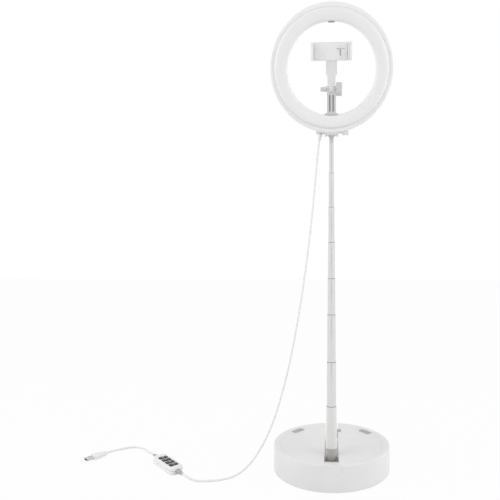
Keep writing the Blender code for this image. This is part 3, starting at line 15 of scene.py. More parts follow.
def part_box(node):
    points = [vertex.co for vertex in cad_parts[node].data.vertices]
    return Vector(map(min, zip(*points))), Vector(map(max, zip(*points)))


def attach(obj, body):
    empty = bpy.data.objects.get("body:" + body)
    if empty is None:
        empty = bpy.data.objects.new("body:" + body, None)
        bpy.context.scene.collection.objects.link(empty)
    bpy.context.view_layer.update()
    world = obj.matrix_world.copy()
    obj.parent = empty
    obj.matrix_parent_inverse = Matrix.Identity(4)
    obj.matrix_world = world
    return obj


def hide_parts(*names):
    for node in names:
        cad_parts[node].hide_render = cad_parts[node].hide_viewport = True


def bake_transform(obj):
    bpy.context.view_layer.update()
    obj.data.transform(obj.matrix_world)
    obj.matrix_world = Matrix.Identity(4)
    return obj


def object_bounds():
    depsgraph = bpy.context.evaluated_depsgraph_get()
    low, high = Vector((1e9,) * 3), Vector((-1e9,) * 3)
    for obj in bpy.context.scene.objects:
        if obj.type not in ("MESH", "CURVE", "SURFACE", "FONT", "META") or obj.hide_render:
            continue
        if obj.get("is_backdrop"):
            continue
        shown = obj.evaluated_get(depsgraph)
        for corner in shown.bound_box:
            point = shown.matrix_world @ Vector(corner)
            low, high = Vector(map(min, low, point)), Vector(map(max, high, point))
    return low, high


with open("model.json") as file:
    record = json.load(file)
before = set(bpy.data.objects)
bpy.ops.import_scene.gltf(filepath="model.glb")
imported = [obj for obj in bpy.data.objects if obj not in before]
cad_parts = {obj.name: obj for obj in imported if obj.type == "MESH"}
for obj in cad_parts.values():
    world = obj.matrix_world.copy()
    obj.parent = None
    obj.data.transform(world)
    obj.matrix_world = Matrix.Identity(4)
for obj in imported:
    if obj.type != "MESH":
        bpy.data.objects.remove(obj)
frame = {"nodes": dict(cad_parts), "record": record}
cad_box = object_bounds()
NODES = frame["nodes"]
BODY_OF = {node: body for body, nodes in frame["record"]["behaviour"]["bodies"].items() for node in nodes}
SLOT_OF = {part["node"]: part["material_slot"] for part in frame["record"]["subparts"]}

# %% [markdown]
# ## Camera
# The picture was taken level, from a little under a metre away. A photographer who keeps the back of the
# camera upright gets straight verticals, so the camera here looks level. It turns a little to one side, and
# its picture is shifted by a little, which together put the mast right of the middle.

# %% Camera
CAMERA_PLACE = (0.0, -0.947, 0.4015)
CAMERA_TURN = 2.68
LENS = 36.86
SHIFT = -0.115
camera_data = bpy.data.cameras.new("camera")
camera_data.sensor_width = 36.0
camera_data.lens = LENS
camera_data.shift_x = SHIFT
camera = bpy.data.objects.new("camera", camera_data)
camera.location = CAMERA_PLACE
camera.rotation_euler = (math.radians(90), 0, math.radians(CAMERA_TURN))
bpy.context.scene.collection.objects.link(camera)
bpy.context.scene.camera = camera
print("camera:", LENS, "mm, turned", CAMERA_TURN, "degrees")

# %% [markdown]
# ## The cord's line
# The lead leaves the lamp's head straight down its strain relief, hangs in a long leaning curve to the
# table, runs through a small remote and ends in a plug. A hanging cord is drawn best as a few points that
# a smooth curve passes through, spaced evenly afterwards so that the tube gets even rings.

# %% Points along the cord
CORD_DIAMETER = 0.0036
POINT_SPACING = 0.0115
TUBE_RING_SPACING = 0.004
CURVE_STEPS = 24
CLEARANCE = 0.0003
MAST = Matrix.Translation((0, -0.052, 0.0251))
REMOTE = Matrix.Translation((-0.262, -0.056, 0)) @ Matrix.Rotation(math.radians(134.5), 4, "Z")
PLUG = Matrix.Translation((-0.4405, 0.0355, 0)) @ Matrix.Rotation(math.radians(231.5), 4, "Z")
REMOTE_RUN = 0.1136
REMOTE_AXIS_HEIGHT = 0.00645
PLUG_AXIS_HEIGHT = 0.0041
GLAND_TOP = MAST @ Vector((-0.0195, -0.004, 0.5782))
GLAND_LENGTH = 0.011
GLAND_LEAN = math.radians(8)
GLAND_DOWN = Vector((-math.sin(GLAND_LEAN), 0, -math.cos(GLAND_LEAN)))


def smooth_route(points, spacing):
    """Evenly spaced points on a smooth curve through the given ones."""
    knots = [Vector(point) for point in points]
    knots = [2 * knots[0] - knots[1]] + knots + [2 * knots[-1] - knots[-2]]
    fine = []
    for before, start, end, after in zip(knots, knots[1:], knots[2:], knots[3:]):
        reach = (end - start).length
        leave = (end - before).normalized() * reach
        arrive = (after - start).normalized() * reach
        for i in range(CURVE_STEPS):
            t = i / CURVE_STEPS
            ahead = start * (2 * t**3 - 3 * t**2 + 1) + end * (3 * t**2 - 2 * t**3)
            fine.append(ahead + leave * (t**3 - 2 * t**2 + t) + arrive * (t**3 - t**2))
    fine.append(knots[-2])
    runs = [0.0]
    for start, end in zip(fine, fine[1:]):
        runs.append(runs[-1] + (end - start).length)
    count = round(runs[-1] / spacing)
    even = []
    j = 0
    for i in range(count + 1):
        target = runs[-1] * i / count
        while j < len(fine) - 2 and runs[j + 1] < target:
            j += 1
        even.append(fine[j].lerp(fine[j + 1], (target - runs[j]) / (runs[j + 1] - runs[j])))
    return even


straight = 3 * CORD_DIAMETER
along_remote = REMOTE.to_3x3() @ Vector((1, 0, 0))
along_plug = PLUG.to_3x3() @ Vector((1, 0, 0))
gland_tip = GLAND_TOP + (GLAND_LENGTH + CLEARANCE) * GLAND_DOWN
remote_in = REMOTE @ Vector((-CLEARANCE, 0, REMOTE_AXIS_HEIGHT))
remote_out = REMOTE @ Vector((REMOTE_RUN + CLEARANCE, 0, REMOTE_AXIS_HEIGHT))
plug_in = PLUG @ Vector((-CLEARANCE, 0, PLUG_AXIS_HEIGHT))
JOIN = Vector((-0.0800, -0.0620, 0.1740))
TABLE_END = (-0.1650, -0.0650, 0.0107)
lead_points = [gland_tip, gland_tip + straight * GLAND_DOWN]
lead_points += [(-0.0325, -0.0615, 0.4716), (-0.0445, -0.0615, 0.3695), (-0.0600, -0.0620, 0.2696), JOIN]
lead_points += [(-0.1050, -0.0630, 0.0937), (-0.1350, -0.0640, 0.0383), TABLE_END]
lead_points += [(-0.1950, -0.0670, 0.0024), (-0.2150, -0.0715, 0.0024), (-0.2350, -0.0715, 0.0024)]
lead_points += [remote_in - straight * along_remote, remote_in]
tail_points = [remote_out, remote_out + straight * along_remote, (-0.3620, 0.0490, 0.0024)]
tail_points += [(-0.3780, 0.0660, 0.0022), (-0.4010, 0.0720, 0.0022), (-0.4230, 0.0590, 0.0024)]
tail_points += [plug_in - straight * along_plug, plug_in]
lead_run = smooth_route(lead_points, POINT_SPACING)
tail_run = smooth_route(tail_points, POINT_SPACING)
join_at = min(range(len(lead_run)), key=lambda i: (lead_run[i] - JOIN).length)
drop_run = lead_run[: join_at + 1]
floor_run = lead_run[join_at:] + [REMOTE @ Vector((x, 0, REMOTE_AXIS_HEIGHT)) for x in (0.013, 0.026)]
print("cord points:", len(drop_run), len(floor_run), len(tail_run))

# %% Cord tubes
def run_length(points):
    return sum((end - start).length for start, end in zip(points, points[1:]))


def cord_piece(name, points):
    """A round tube along the points, as a plain mesh."""
    curve = bpy.data.curves.new(name, "CURVE")
    curve.dimensions = "3D"
    curve.bevel_depth = CORD_DIAMETER / 2
    curve.bevel_resolution = 4
    curve.use_fill_caps = True
    spline = curve.splines.new("POLY")
    spline.points.add(len(points) - 1)
    for knot, point in zip(spline.points, points):
        knot.co = (*point, 1.0)
    spline.use_smooth = True
    holder = bpy.data.objects.new(name + "_line", curve)
    bpy.context.scene.collection.objects.link(holder)
    bpy.context.view_layer.update()
    mesh = bpy.data.meshes.new_from_object(holder.evaluated_get(bpy.context.evaluated_depsgraph_get()))
    bpy.data.objects.remove(holder)
    made = bpy.data.objects.new(name, mesh)
    bpy.context.scene.collection.objects.link(made)
    return made


def finer(points):
    return smooth_route(points, TUBE_RING_SPACING)


lead_drop = cord_piece("lead_drop", finer(drop_run))
lead_floor = cord_piece("lead_floor", finer(floor_run))
lead_tail = cord_piece("lead_tail", finer(tail_run))
print("cord lengths:", [round(run_length(run), 3) for run in (drop_run, floor_run, tail_run)])

# %% [markdown]
# ## Shader sums
# A material is a net of small nodes. Wrapping one output socket in a class lets the sums be written as
# ordinary Python, and each operator adds the Math node that does it.

# %% A socket that can be reckoned with
class Wire:
    """One output socket of a node tree."""

    def __init__(self, tree, socket=None):
        self.tree = tree
        self.socket = socket

    def node(self, kind, settings=None, sockets=None, output=0):
        """Any node: its settings are set first, then the values or links of its sockets."""
        made = self.tree.nodes.new(kind)
        for name, value in (settings or {}).items():
            setattr(made, name, value)
        for key, value in (sockets or {}).items():
            if isinstance(value, Wire):
                self.tree.links.new(value.socket, made.inputs[key])
            else:
                made.inputs[key].default_value = value
        return Wire(self.tree, made.outputs[output])

    def reckon(self, operation, first, second):
        return self.node("ShaderNodeMath", {"operation": operation}, {0: first, 1: second})

    def __add__(self, other):
        return self.reckon("ADD", self, other)

    def __radd__(self, other):
        return self.reckon("ADD", other, self)

    def __sub__(self, other):
        return self.reckon("SUBTRACT", self, other)

    def __rsub__(self, other):
        return self.reckon("SUBTRACT", other, self)

    def __mul__(self, other):
        return self.reckon("MULTIPLY", self, other)

    def __rmul__(self, other):
        return self.reckon("MULTIPLY", other, self)

    def blend(self, first, second):
        """This value mixes two colours."""
        sockets = {0: self, 6: first, 7: second}
        return self.node("ShaderNodeMix", {"data_type": "RGBA"}, sockets, 2)

    def noise(self, scale, detail=2.0):
        return self.node("ShaderNodeTexNoise", None, {"Vector": self, "Scale": scale, "Detail": detail})

    def clamped(self):
        return self.node("ShaderNodeClamp", None, {0: self})

    def axis(self, name):
        """One number of a vector."""
        return self.node("ShaderNodeSeparateXYZ", None, {0: self}, name)

    def bump(self, strength, distance):
        return self.node("ShaderNodeBump", None, {"Strength": strength, "Distance": distance, "Height": self})

    def into(self, shader, name):
        self.tree.links.new(self.socket, shader.inputs[name])


print("shader sums ready")

# %% [markdown]
# ## Room
# A white sweep under an even sky is the usual way to show a white product. The floor looks white to the
# camera, but a share of it is an ordinary matt surface, so the lamp's own shadow still falls on it. A dimmer
# patch of sky in front, which only reflections see, gives the shiny tubes their darker middle.

# %% Floor and sky
SKY_LOW = 0.86
SKY_TOP_DROP = 0.36
SKY_SIDES = 0.33
SKY_FRONT_DROP = 0.38
FLAG_SHADE = 0.40
FLAG_START = 0.90
FLAG_SLOPE = 12.0
FLOOR_WHITE_SHARE = 0.96
FLOOR_GREY = 0.75
FLOOR_HALF = 6.0
FLOOR_DROP = 0.0004


def ray_kind(tree, kind):
    return Wire(tree).node("ShaderNodeLightPath", output=f"Is {kind} Ray")


def seen_directly(tree):
    """One where a ray comes from the camera, or from a mirror-like or clear surface."""
    rays = ray_kind(tree, "Camera") + ray_kind(tree, "Glossy") + ray_kind(tree, "Transmission")
    return rays.clamped()


world = bpy.data.worlds.new("studio")
bpy.context.scene.world = world
world.use_nodes = True
air = world.node_tree
sky = air.nodes["Background"]
sky.inputs["Color"].default_value = (1, 1, 1, 1)
direction = Wire(air).node("ShaderNodeTexCoord", output="Generated")
front = (direction.axis("Y") * -1.0).clamped()
aside = direction.axis("X").reckon("ABSOLUTE", direction.axis("X"), 0.0)
top_drop = direction.axis("Z").clamped() * SKY_TOP_DROP
light = SKY_LOW - top_drop + aside * SKY_SIDES - front * front * SKY_FRONT_DROP
flag = ((front - FLAG_START) * FLAG_SLOPE).clamped() * ray_kind(air, "Glossy") * FLAG_SHADE
seen = seen_directly(air)
((1.0 - seen) * light + seen - flag).into(sky, "Strength")

floor_mesh = bpy.data.meshes.new("floor")
corners = [(FLOOR_HALF * x, FLOOR_HALF * y, -FLOOR_DROP) for x, y in ((-1, -1), (1, -1), (1, 1), (-1, 1))]
floor_mesh.from_pydata(corners, [], [(0, 1, 2, 3)])
floor = bpy.data.objects.new("floor", floor_mesh)
bpy.context.scene.collection.objects.link(floor)
floor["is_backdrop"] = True
sweep = bpy.data.materials.new("white_sweep")
sweep.use_nodes = True
tree = sweep.node_tree
tree.nodes.remove(tree.nodes["Principled BSDF"])
start = Wire(tree)
matt = start.node("ShaderNodeBsdfDiffuse", None, {"Color": (FLOOR_GREY, FLOOR_GREY, FLOOR_GREY, 1)})
glow = start.node("ShaderNodeEmission", None, {"Color": (1, 1, 1, 1), "Strength": 1.0})
mixed = start.node("ShaderNodeMixShader", None, {0: seen_directly(tree) * FLOOR_WHITE_SHARE, 1: matt, 2: glow})
mixed.into(tree.nodes["Material Output"], "Surface")
floor_mesh.materials.append(sweep)
print("sky", SKY_LOW, "floor white share", FLOOR_WHITE_SHARE)

# %% Lamps
LAMP_PLACES = {"key_lamp": (-1.45, -0.8, 0.9), "side_lamp": (1.45, -0.75, 0.8)}
LAMP_TARGET = Vector((0, 0, 0.35))
LAMP_SIZE = 1.8
LAMP_POWER = 10.0
for name, place in LAMP_PLACES.items():
    lamp_data = bpy.data.lights.new(name, "AREA")
    lamp_data.shape = "DISK"
    lamp_data.size = LAMP_SIZE
    lamp_data.energy = LAMP_POWER
    lamp = bpy.data.objects.new(name, lamp_data)
    lamp.location = place
    lamp.rotation_euler = (LAMP_TARGET - Vector(place)).to_track_quat("-Z", "Y").to_euler()
    lamp.visible_glossy = False
    bpy.context.scene.collection.objects.link(lamp)
bpy.context.scene.view_settings.view_transform = "Standard"
print("soft lamps:", list(LAMP_PLACES))

# %% [markdown]
# ## Finishes
# Nearly everything is white, so the stuffs are told apart by their surfaces: a fine moulded grain on the
# housings, long drawn streaks on the coated tubes, a frosted front, dusty rubber and a soft cord jacket.
# Each one starts from the piece's own coordinates in metres, so a grain has a real size.

# %% Kinds of finish
CLOUD_SCALE = 28.0
PEBBLE_SCALE = 2600.0
PEBBLE_DEPTH = 0.0002
TUBE_CLOUD_SCALE = 40.0
STREAK_SCALE = 2400.0
STREAK_STRETCH = (1.0, 1.0, 0.012)
STREAK_DEPTH = 0.0001
DUST_SCALE = 160.0
SKIN_SCALE = 1800.0
SKIN_DEPTH = 0.0002


def new_finish(name, roughness, metallic=0.0):
    made = bpy.data.materials.new(name)
    made.use_nodes = True
    shader = made.node_tree.nodes["Principled BSDF"]
    shader.inputs["Roughness"].default_value = roughness
    shader.inputs["Metallic"].default_value = metallic
    place = Wire(made.node_tree).node("ShaderNodeTexCoord", output="Object")
    return made, shader, place


def shade_of(colour, factor):
    return (*[min(1.0, part * factor) for part in colour], 1)


def moulded(name, colour, roughness, grain=0.12, mottle=0.03):
    """Moulded plastic: a fine spark-eroded grain, and a cloudiness that is only just there."""
    made, shader, place = new_finish(name, roughness)
    cloud = place.noise(CLOUD_SCALE, 3.0)
    cloud.blend(shade_of(colour, 1 - mottle), shade_of(colour, 1 + mottle)).into(shader, "Base Color")
    pebble = place.noise(PEBBLE_SCALE)
    (pebble * 0.12 + (roughness - 0.06)).into(shader, "Roughness")
    pebble.bump(grain, PEBBLE_DEPTH).into(shader, "Normal")
    return made


def drawn_metal(name, colour, roughness, metallic):
    """Tube that was drawn through a die: streaks run along it."""
    made, shader, place = new_finish(name, roughness, metallic)
    stretched = place.node("ShaderNodeMapping", None, {0: place, "Scale": STREAK_STRETCH})
    streak = stretched.noise(STREAK_SCALE)
    cloud = place.noise(TUBE_CLOUD_SCALE)
    tone = cloud * 0.6 + streak * 0.4
    tone.blend(shade_of(colour, 0.96), shade_of(colour, 1.03)).into(shader, "Base Color")
    (streak * 0.16 + (roughness - 0.08)).into(shader, "Roughness")
    streak.bump(0.05, STREAK_DEPTH).into(shader, "Normal")
    return made


def rubber(name, colour, roughness):
    """Soft rubber: an uneven, slightly dusty skin."""
    made, shader, place = new_finish(name, roughness)
    dust = place.noise(DUST_SCALE, 4.0)
    dust.blend(shade_of(colour, 0.86), shade_of(colour, 1.16)).into(shader, "Base Color")
    skin = place.noise(SKIN_SCALE, 3.0)
    (skin * 0.2 + (roughness - 0.1)).into(shader, "Roughness")
    skin.bump(0.2, SKIN_DEPTH).into(shader, "Normal")
    return made


print("three kinds of finish")

# %% The finishes
MOULDED = {
    "white_plastic": ((0.88, 0.88, 0.88), 0.42),
    "base_white": ((0.82, 0.82, 0.82), 0.42),
    "ring_white": ((0.92, 0.92, 0.92), 0.22, 0.04, 0.01),
    "stem_grey": ((0.66, 0.66, 0.66), 0.40),
    "neck_grey": ((0.82, 0.82, 0.82), 0.42),
    # painted shade: the darker grey for the mast's lower end, down in the base's pit
    "pit_shade_grey": ((0.46, 0.45, 0.43), 0.40),
    "cream_plastic": ((0.77, 0.765, 0.75), 0.38),
    "diffuser": ((0.90, 0.90, 0.90), 0.32, 0.05, 0.015),
    "pale_rubber": ((0.90, 0.90, 0.895), 0.60, 0.2, 0.03),
    "black_key": ((0.018, 0.018, 0.019), 0.40, 0.2, 0.1),
    "board": ((0.09, 0.22, 0.12), 0.45, 0.2, 0.15),
    "white_cord": ((0.86, 0.86, 0.86), 0.45, 0.10, 0.02),
}
DRAWN = {
    "white_tube": ((0.74, 0.74, 0.74), 0.30, 0.80),
    "steel": ((0.62, 0.62, 0.63), 0.28, 1.0),
    "weight_iron": ((0.30, 0.30, 0.31), 0.55, 1.0),
}
SOFT = {
    "grey_rubber": ((0.20, 0.20, 0.20), 0.75),
    "grey_relief": ((0.44, 0.44, 0.44), 0.62),
    "bush_grey": ((0.28, 0.28, 0.28), 0.60),
    "rest_grey": ((0.45, 0.45, 0.45), 0.70),
}
FINISH = {name: moulded(name, *look) for name, look in MOULDED.items()}
FINISH |= {name: drawn_metal(name, *look) for name, look in DRAWN.items()}
FINISH |= {name: rubber(name, *look) for name, look in SOFT.items()}
print(len(FINISH), "finishes")

# %% [markdown]
# ## Shaping tools
# Real mouldings are lathe turnings, flat outlines pushed into slabs, and cuts. A handful of helpers makes
# those; a narrow bevel afterwards gives every hard edge the small round that catches the light.

# %% Outlines
def arc(centre, radius, start, end, steps=12):
    """Points on an arc, with angles in degrees."""
    angles = [math.radians(start + (end - start) * i / steps) for i in range(steps + 1)]
    return [(centre[0] + radius * math.cos(a), centre[1] + radius * math.sin(a)) for a in angles]


def filleted(points, steps=6):
    """A closed outline whose corners are rounded where a point has a third number, the radius."""
    rounded = []
    count = len(points)
    for i, point in enumerate(points):
        here = Vector(point[:2])
        if len(point) < 3:
            rounded.append(tuple(here))
            continue
        before = (Vector(points[i - 1][:2]) - here).normalized()
        after = (Vector(points[(i + 1) % count][:2]) - here).normalized()
        half = before.angle(after) / 2
        centre = here + (before + after).normalized() * point[2] / math.sin(half)
        first = here + before * point[2] / math.tan(half) - centre
        last = here + after * point[2] / math.tan(half) - centre
        turns = [first.normalized().slerp(last.normalized(), j / steps) for j in range(steps + 1)]
        rounded += [tuple(centre + point[2] * turn) for turn in turns]
    return rounded


def rounded_rectangle(width, height, radius, centre=(0.0, 0.0)):
    x, y = centre
    w, h = width / 2, height / 2
    turns = ((1, 1), (-1, 1), (-1, -1), (1, -1))
    return filleted([(x + w * across, y + h * along, radius) for across, along in turns])


def strap(first, first_radius, second, second_radius, steps=20):
    """Outline round two circles, joined by their common tangents."""
    dx, dy = second[0] - first[0], second[1] - first[1]
    heading = math.degrees(math.atan2(dy, dx))
    lean = math.degrees(math.acos((first_radius - second_radius) / math.hypot(dx, dy)))
    far = arc(second, second_radius, heading - lean, heading + lean, steps)
    return far + arc(first, first_radius, heading + lean, heading + 360 - lean, steps)


def lobed(diameter, lobes, depth, steps_per_lobe=14):
    count = lobes * steps_per_lobe
    points = []
    for i in range(count):
        angle = 2 * math.pi * i / count
        radius = diameter / 2 - depth * (1 - math.cos(lobes * angle)) / 2
        points.append((radius * math.cos(angle), radius * math.sin(angle)))
    return points


print("outlines ready")

# %% Solids
ALONG_X = Matrix(((0, 0, 1), (1, 0, 0), (0, 1, 0))).to_4x4()
ALONG_Y = Matrix(((1, 0, 0), (0, 0, -1), (0, 1, 0))).to_4x4()
NEAR = 1e-6
SHARP_ANGLE = math.radians(32)
FLAT_ANGLE = math.radians(1)


def along_x(up=0.0, front=0.0):
    return Matrix.Translation((0, up, front)) @ ALONG_X


def as_object(name, builder, move=Matrix()):
    bmesh.ops.recalc_face_normals(builder, faces=builder.faces)
    mesh = bpy.data.meshes.new(name)
    builder.to_mesh(mesh)
    builder.free()
    mesh.transform(move)
    made = bpy.data.objects.new(name, mesh)
    bpy.context.scene.collection.objects.link(made)
    return made


def turned(name, profile, steps=48, ring=False, move=Matrix()):
    """A lathe shape about Z from (radius, height) points. A ring's profile closes on itself."""
    builder = bmesh.new()
    verts = [builder.verts.new((radius, 0, height)) for radius, height in profile]
    pairs = list(zip(verts, verts[1:])) + ([(verts[-1], verts[0])] if ring else [])
    edges = [builder.edges.new(pair) for pair in pairs]
    about = {"axis": (0, 0, 1), "cent": (0, 0, 0), "angle": 2 * math.pi, "steps": steps}
    bmesh.ops.spin(builder, geom=verts + edges, use_merge=True, **about)
    bmesh.ops.remove_doubles(builder, verts=builder.verts, dist=NEAR)
    centres = [vert for vert in builder.verts if vert.co.xy.length < NEAR]
    bmesh.ops.dissolve_verts(builder, verts=centres)
    return as_object(name, builder, move)


def rod(name, diameter, start, end, steps=48, move=Matrix()):
    radius = diameter / 2
    return turned(name, [(0, end), (radius, end), (radius, start), (0, start)], steps, move=move)


def slab(name, outline, start, end, move=Matrix()):
    """An outline pushed along Z from start to end."""
    builder = bmesh.new()
    face = builder.faces.new([builder.verts.new((x, y, start)) for x, y in outline])
    pushed = bmesh.ops.extrude_face_region(builder, geom=[face])
    tops = [item for item in pushed["geom"] if isinstance(item, bmesh.types.BMVert)]
    bmesh.ops.translate(builder, vec=(0, 0, end - start), verts=tops)
    return as_object(name, builder, move)


def block(name, low, high, move=Matrix()):
    outline = [(low[0], low[1]), (high[0], low[1]), (high[0], high[1]), (low[0], high[1])]
    return slab(name, outline, low[2], high[2], move)


def bake(made):
    """Turns an object's modifiers into its plain mesh."""
    bpy.context.view_layer.update()
    mesh = bpy.data.meshes.new_from_object(made.evaluated_get(bpy.context.evaluated_depsgraph_get()))
    made.modifiers.clear()
    made.data = mesh
    return made


def combine(target, tools, operation):
    """A Boolean with each tool in turn. The tools are used up."""
    for tool in tools:
        modifier = target.modifiers.new("combine", "BOOLEAN")
        modifier.operation = operation
        modifier.solver = "EXACT"
        modifier.object = tool
        target.modifiers.new("weld", "WELD").merge_threshold = NEAR
        bake(target)
        bpy.data.objects.remove(tool)
    return target


def cut(target, *tools):
    return combine(target, tools, "DIFFERENCE")


def fuse(target, *tools):
    return combine(target, tools, "UNION")


def soften(made, width=0.0004, segments=2, angle=40):
    """Rounds every hard edge a little."""
    modifier = made.modifiers.new("soften", "BEVEL")
    modifier.width = width
    modifier.segments = segments
    modifier.limit_method = "ANGLE"
    modifier.angle_limit = math.radians(angle)
    return bake(made)


def dress(made, finish, *nodes, body=None, slot=None):
    """Gives a finished piece its stuff, its smooth shading and the body it moves with, and hides the solids
    that it stands for.
    """
    made.data.materials.clear()
    made.data.materials.append(FINISH[finish])
    made.data.shade_smooth()
    made.data.set_sharp_from_angle(angle=SHARP_ANGLE)
    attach(made, body or BODY_OF[nodes[0]])
    if nodes:
        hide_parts(*nodes)
    return made


def rounded_copy(node, width=0.0004, segments=2):
    """A copy of a solid with its loose triangles merged, its flat faces joined and its edges rounded."""
    builder = bmesh.new()
    builder.from_mesh(NODES[node].data)
    bmesh.ops.remove_doubles(builder, verts=builder.verts, dist=2 * NEAR)
    flat = {"angle_limit": FLAT_ANGLE, "verts": builder.verts, "edges": builder.edges}
    bmesh.ops.dissolve_limit(builder, use_dissolve_boundaries=False, **flat)
    mesh = bpy.data.meshes.new(node + "_fine")
    builder.to_mesh(mesh)
    builder.free()
    made = bpy.data.objects.new(mesh.name, mesh)
    bpy.context.scene.collection.objects.link(made)
    return soften(made, width, segments)


print("solids ready")

# %% [markdown]
# ## Base
# The foot is one big shallow moulding: a deck inside a slightly raised rim, with a slot that the folded
# mast drops into. It is turned as a lathe shape with true rounds in its profile, and the openings are cut
# out afterwards, as the tool for the real moulding would leave them.

# %% Base housing
BASE_RADIUS = 0.106
BASE_WALL_INNER = 0.103
BASE_EDGE = 0.0023
RIM_TOP = 0.047
RIM_INNER = 0.0965
DECK_RADIUS = 0.0945
DECK_TOP = 0.045
DECK_UNDER = 0.042
housing_profile = filleted(
    [
        (0, DECK_TOP),
        (DECK_RADIUS, DECK_TOP, 0.0008),
        (RIM_INNER, RIM_TOP, 0.0007),
        (BASE_RADIUS, RIM_TOP, 0.0022),
        (BASE_RADIUS, BASE_EDGE, 0.0009),
        (BASE_WALL_INNER, BASE_EDGE),
        (BASE_WALL_INNER, DECK_UNDER),
        (0, DECK_UNDER),
    ]
)
base_cover = turned("base_cover", housing_profile, 180)
print("base turned, radius", BASE_RADIUS, "m")

# %% Openings in the base
PAST_WALL = 0.2
PAST_TOP = 0.1
PIT_FRONT = -0.0857
PIT_FLOOR = 0.0096
SLOT_HALF = 0.0123
REST_INNER = 0.0852
REST_SPREAD = 7.5
REST_DEPTH = 0.0019
REST_ANGLES = (43, 137)
SCOOP_DIAMETER = 0.038
SCOOP_DEPTH = 0.0022
BUTTON_WIDTH, BUTTON_LENGTH, BUTTON_ROUND = 0.021, 0.0105, 0.0015
PIT_LIP = 0.0025

cut(base_cover, block("slot", (-SLOT_HALF, PIT_FRONT, PIT_FLOOR), (SLOT_HALF, PAST_WALL, PAST_TOP)))
spread = REST_SPREAD + math.degrees(CLEARANCE / REST_INNER)
recess_outline = arc((0, 0), DECK_RADIUS, -spread, spread, 16)
recess_outline += arc((0, 0), REST_INNER - CLEARANCE, spread, -spread, 16)
for angle in REST_ANGLES:
    turn = Matrix.Rotation(math.radians(angle), 4, "Z")
    cut(base_cover, slab("recess", recess_outline, DECK_TOP - REST_DEPTH, RIM_TOP, turn))
scoop_place = Matrix.Translation((0, 0, RIM_TOP)) @ ALONG_Y
scoop = rod("scoop", SCOOP_DIAMETER, BASE_RADIUS - SCOOP_DEPTH, PAST_WALL, 96, scoop_place)
button_middle = PIT_FRONT - PIT_LIP - 2 * CLEARANCE - BUTTON_LENGTH / 2
hole_sizes = (BUTTON_WIDTH + 2 * CLEARANCE, BUTTON_LENGTH + 2 * CLEARANCE, BUTTON_ROUND + CLEARANCE)
hole_outline = rounded_rectangle(*hole_sizes, (0, button_middle))
button_hole = slab("button_hole", hole_outline, DECK_UNDER - 0.003, PAST_TOP)
clip_low, clip_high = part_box("mast_clip")
margin = Vector((CLEARANCE, CLEARANCE, CLEARANCE))
cut(base_cover, scoop, button_hole, block("clip_recess", clip_low - margin, clip_high + margin))
dress(soften(base_cover, 0.0005, 3), "base_white", "base_housing", slot="white_plastic")
print("base housing:", len(base_cover.data.polygons), "faces")

# %% Base fittings
FOOT_RADIUS = 0.098
FOOT_THICKNESS = 0.002
foot_profile = [(0, 0), (FOOT_RADIUS, 0, 0.0006), (FOOT_RADIUS, FOOT_THICKNESS, 0.0006), (0, FOOT_THICKNESS)]
foot_profile = filleted(foot_profile)
dress(turned("foot", foot_profile, 128), "grey_rubber", "foot_pad")
for node in ("ring_rest_left", "ring_rest_right", "mast_clip"):
    dress(rounded_copy(node, 0.0003), "rest_grey", node, slot="grey_rubber")
dress(rounded_copy("release_button", 0.0004, 3), "cream_plastic", "release_button", slot="white_plastic")
dress(rounded_copy("slot_liner", 0.0003), "base_white", "slot_liner", slot="white_plastic")
print("base fittings dressed")

# %% [markdown]
# ## Mast
# The mast is a short tapered sleeve and seven drawn tubes, each sliding inside the one below. All tubes
# follow one rule, a wall between two heights, so one Geometry Nodes tree makes them: a thin upright
# rectangle swept round a circle.

# %% A tube by rule
def new_tree(name, inputs):
    """An empty Geometry Nodes tree with one geometry output and the named inputs."""
    made = bpy.data.node_groups.new(name, "GeometryNodeTree")
    made.interface.new_socket("Geometry", in_out="INPUT", socket_type="NodeSocketGeometry")
    for socket, kind in inputs:
        made.interface.new_socket(socket, in_out="INPUT", socket_type="NodeSocket" + kind)
    made.interface.new_socket("Geometry", in_out="OUTPUT", socket_type="NodeSocketGeometry")
    return made, made.nodes.new("NodeGroupInput").outputs, made.nodes.new("NodeGroupOutput")


def add_node(tree, kind, settings=None, sockets=None):
    made = tree.nodes.new(kind)
    for name, value in (settings or {}).items():
        setattr(made, name, value)
    for key, value in (sockets or {}).items():
        if isinstance(value, bpy.types.NodeSocket):
            tree.links.new(value, made.inputs[key])
        else:
            made.inputs[key].default_value = value
    return made


def reckon(tree, operation, first, second):
    return add_node(tree, "ShaderNodeMath", {"operation": operation}, {0: first, 1: second}).outputs[0]


def close_tree(tree, geometry, material, output):
    """Every tree ends by making its copies real and giving them their material."""
    real = add_node(tree, "GeometryNodeRealizeInstances", None, {0: geometry})
    paint = add_node(tree, "GeometryNodeSetMaterial", None, {0: real.outputs[0], "Material": material})
    tree.links.new(paint.outputs[0], output.inputs[0])


def grown(name, tree, values, move=Matrix()):
    """Runs a tree on an empty mesh, with its inputs set by identifier, and keeps the plain result."""
    made = bpy.data.objects.new(name, bpy.data.meshes.new(name))
    bpy.context.scene.collection.objects.link(made)
    modifier = made.modifiers.new(name, "NODES")
    modifier.node_group = tree
    for item in tree.interface.items_tree:
        if item.in_out == "INPUT" and item.name in values:
            modifier[item.identifier] = values[item.name]
    bake(made)
    made.data.transform(move)
    return made


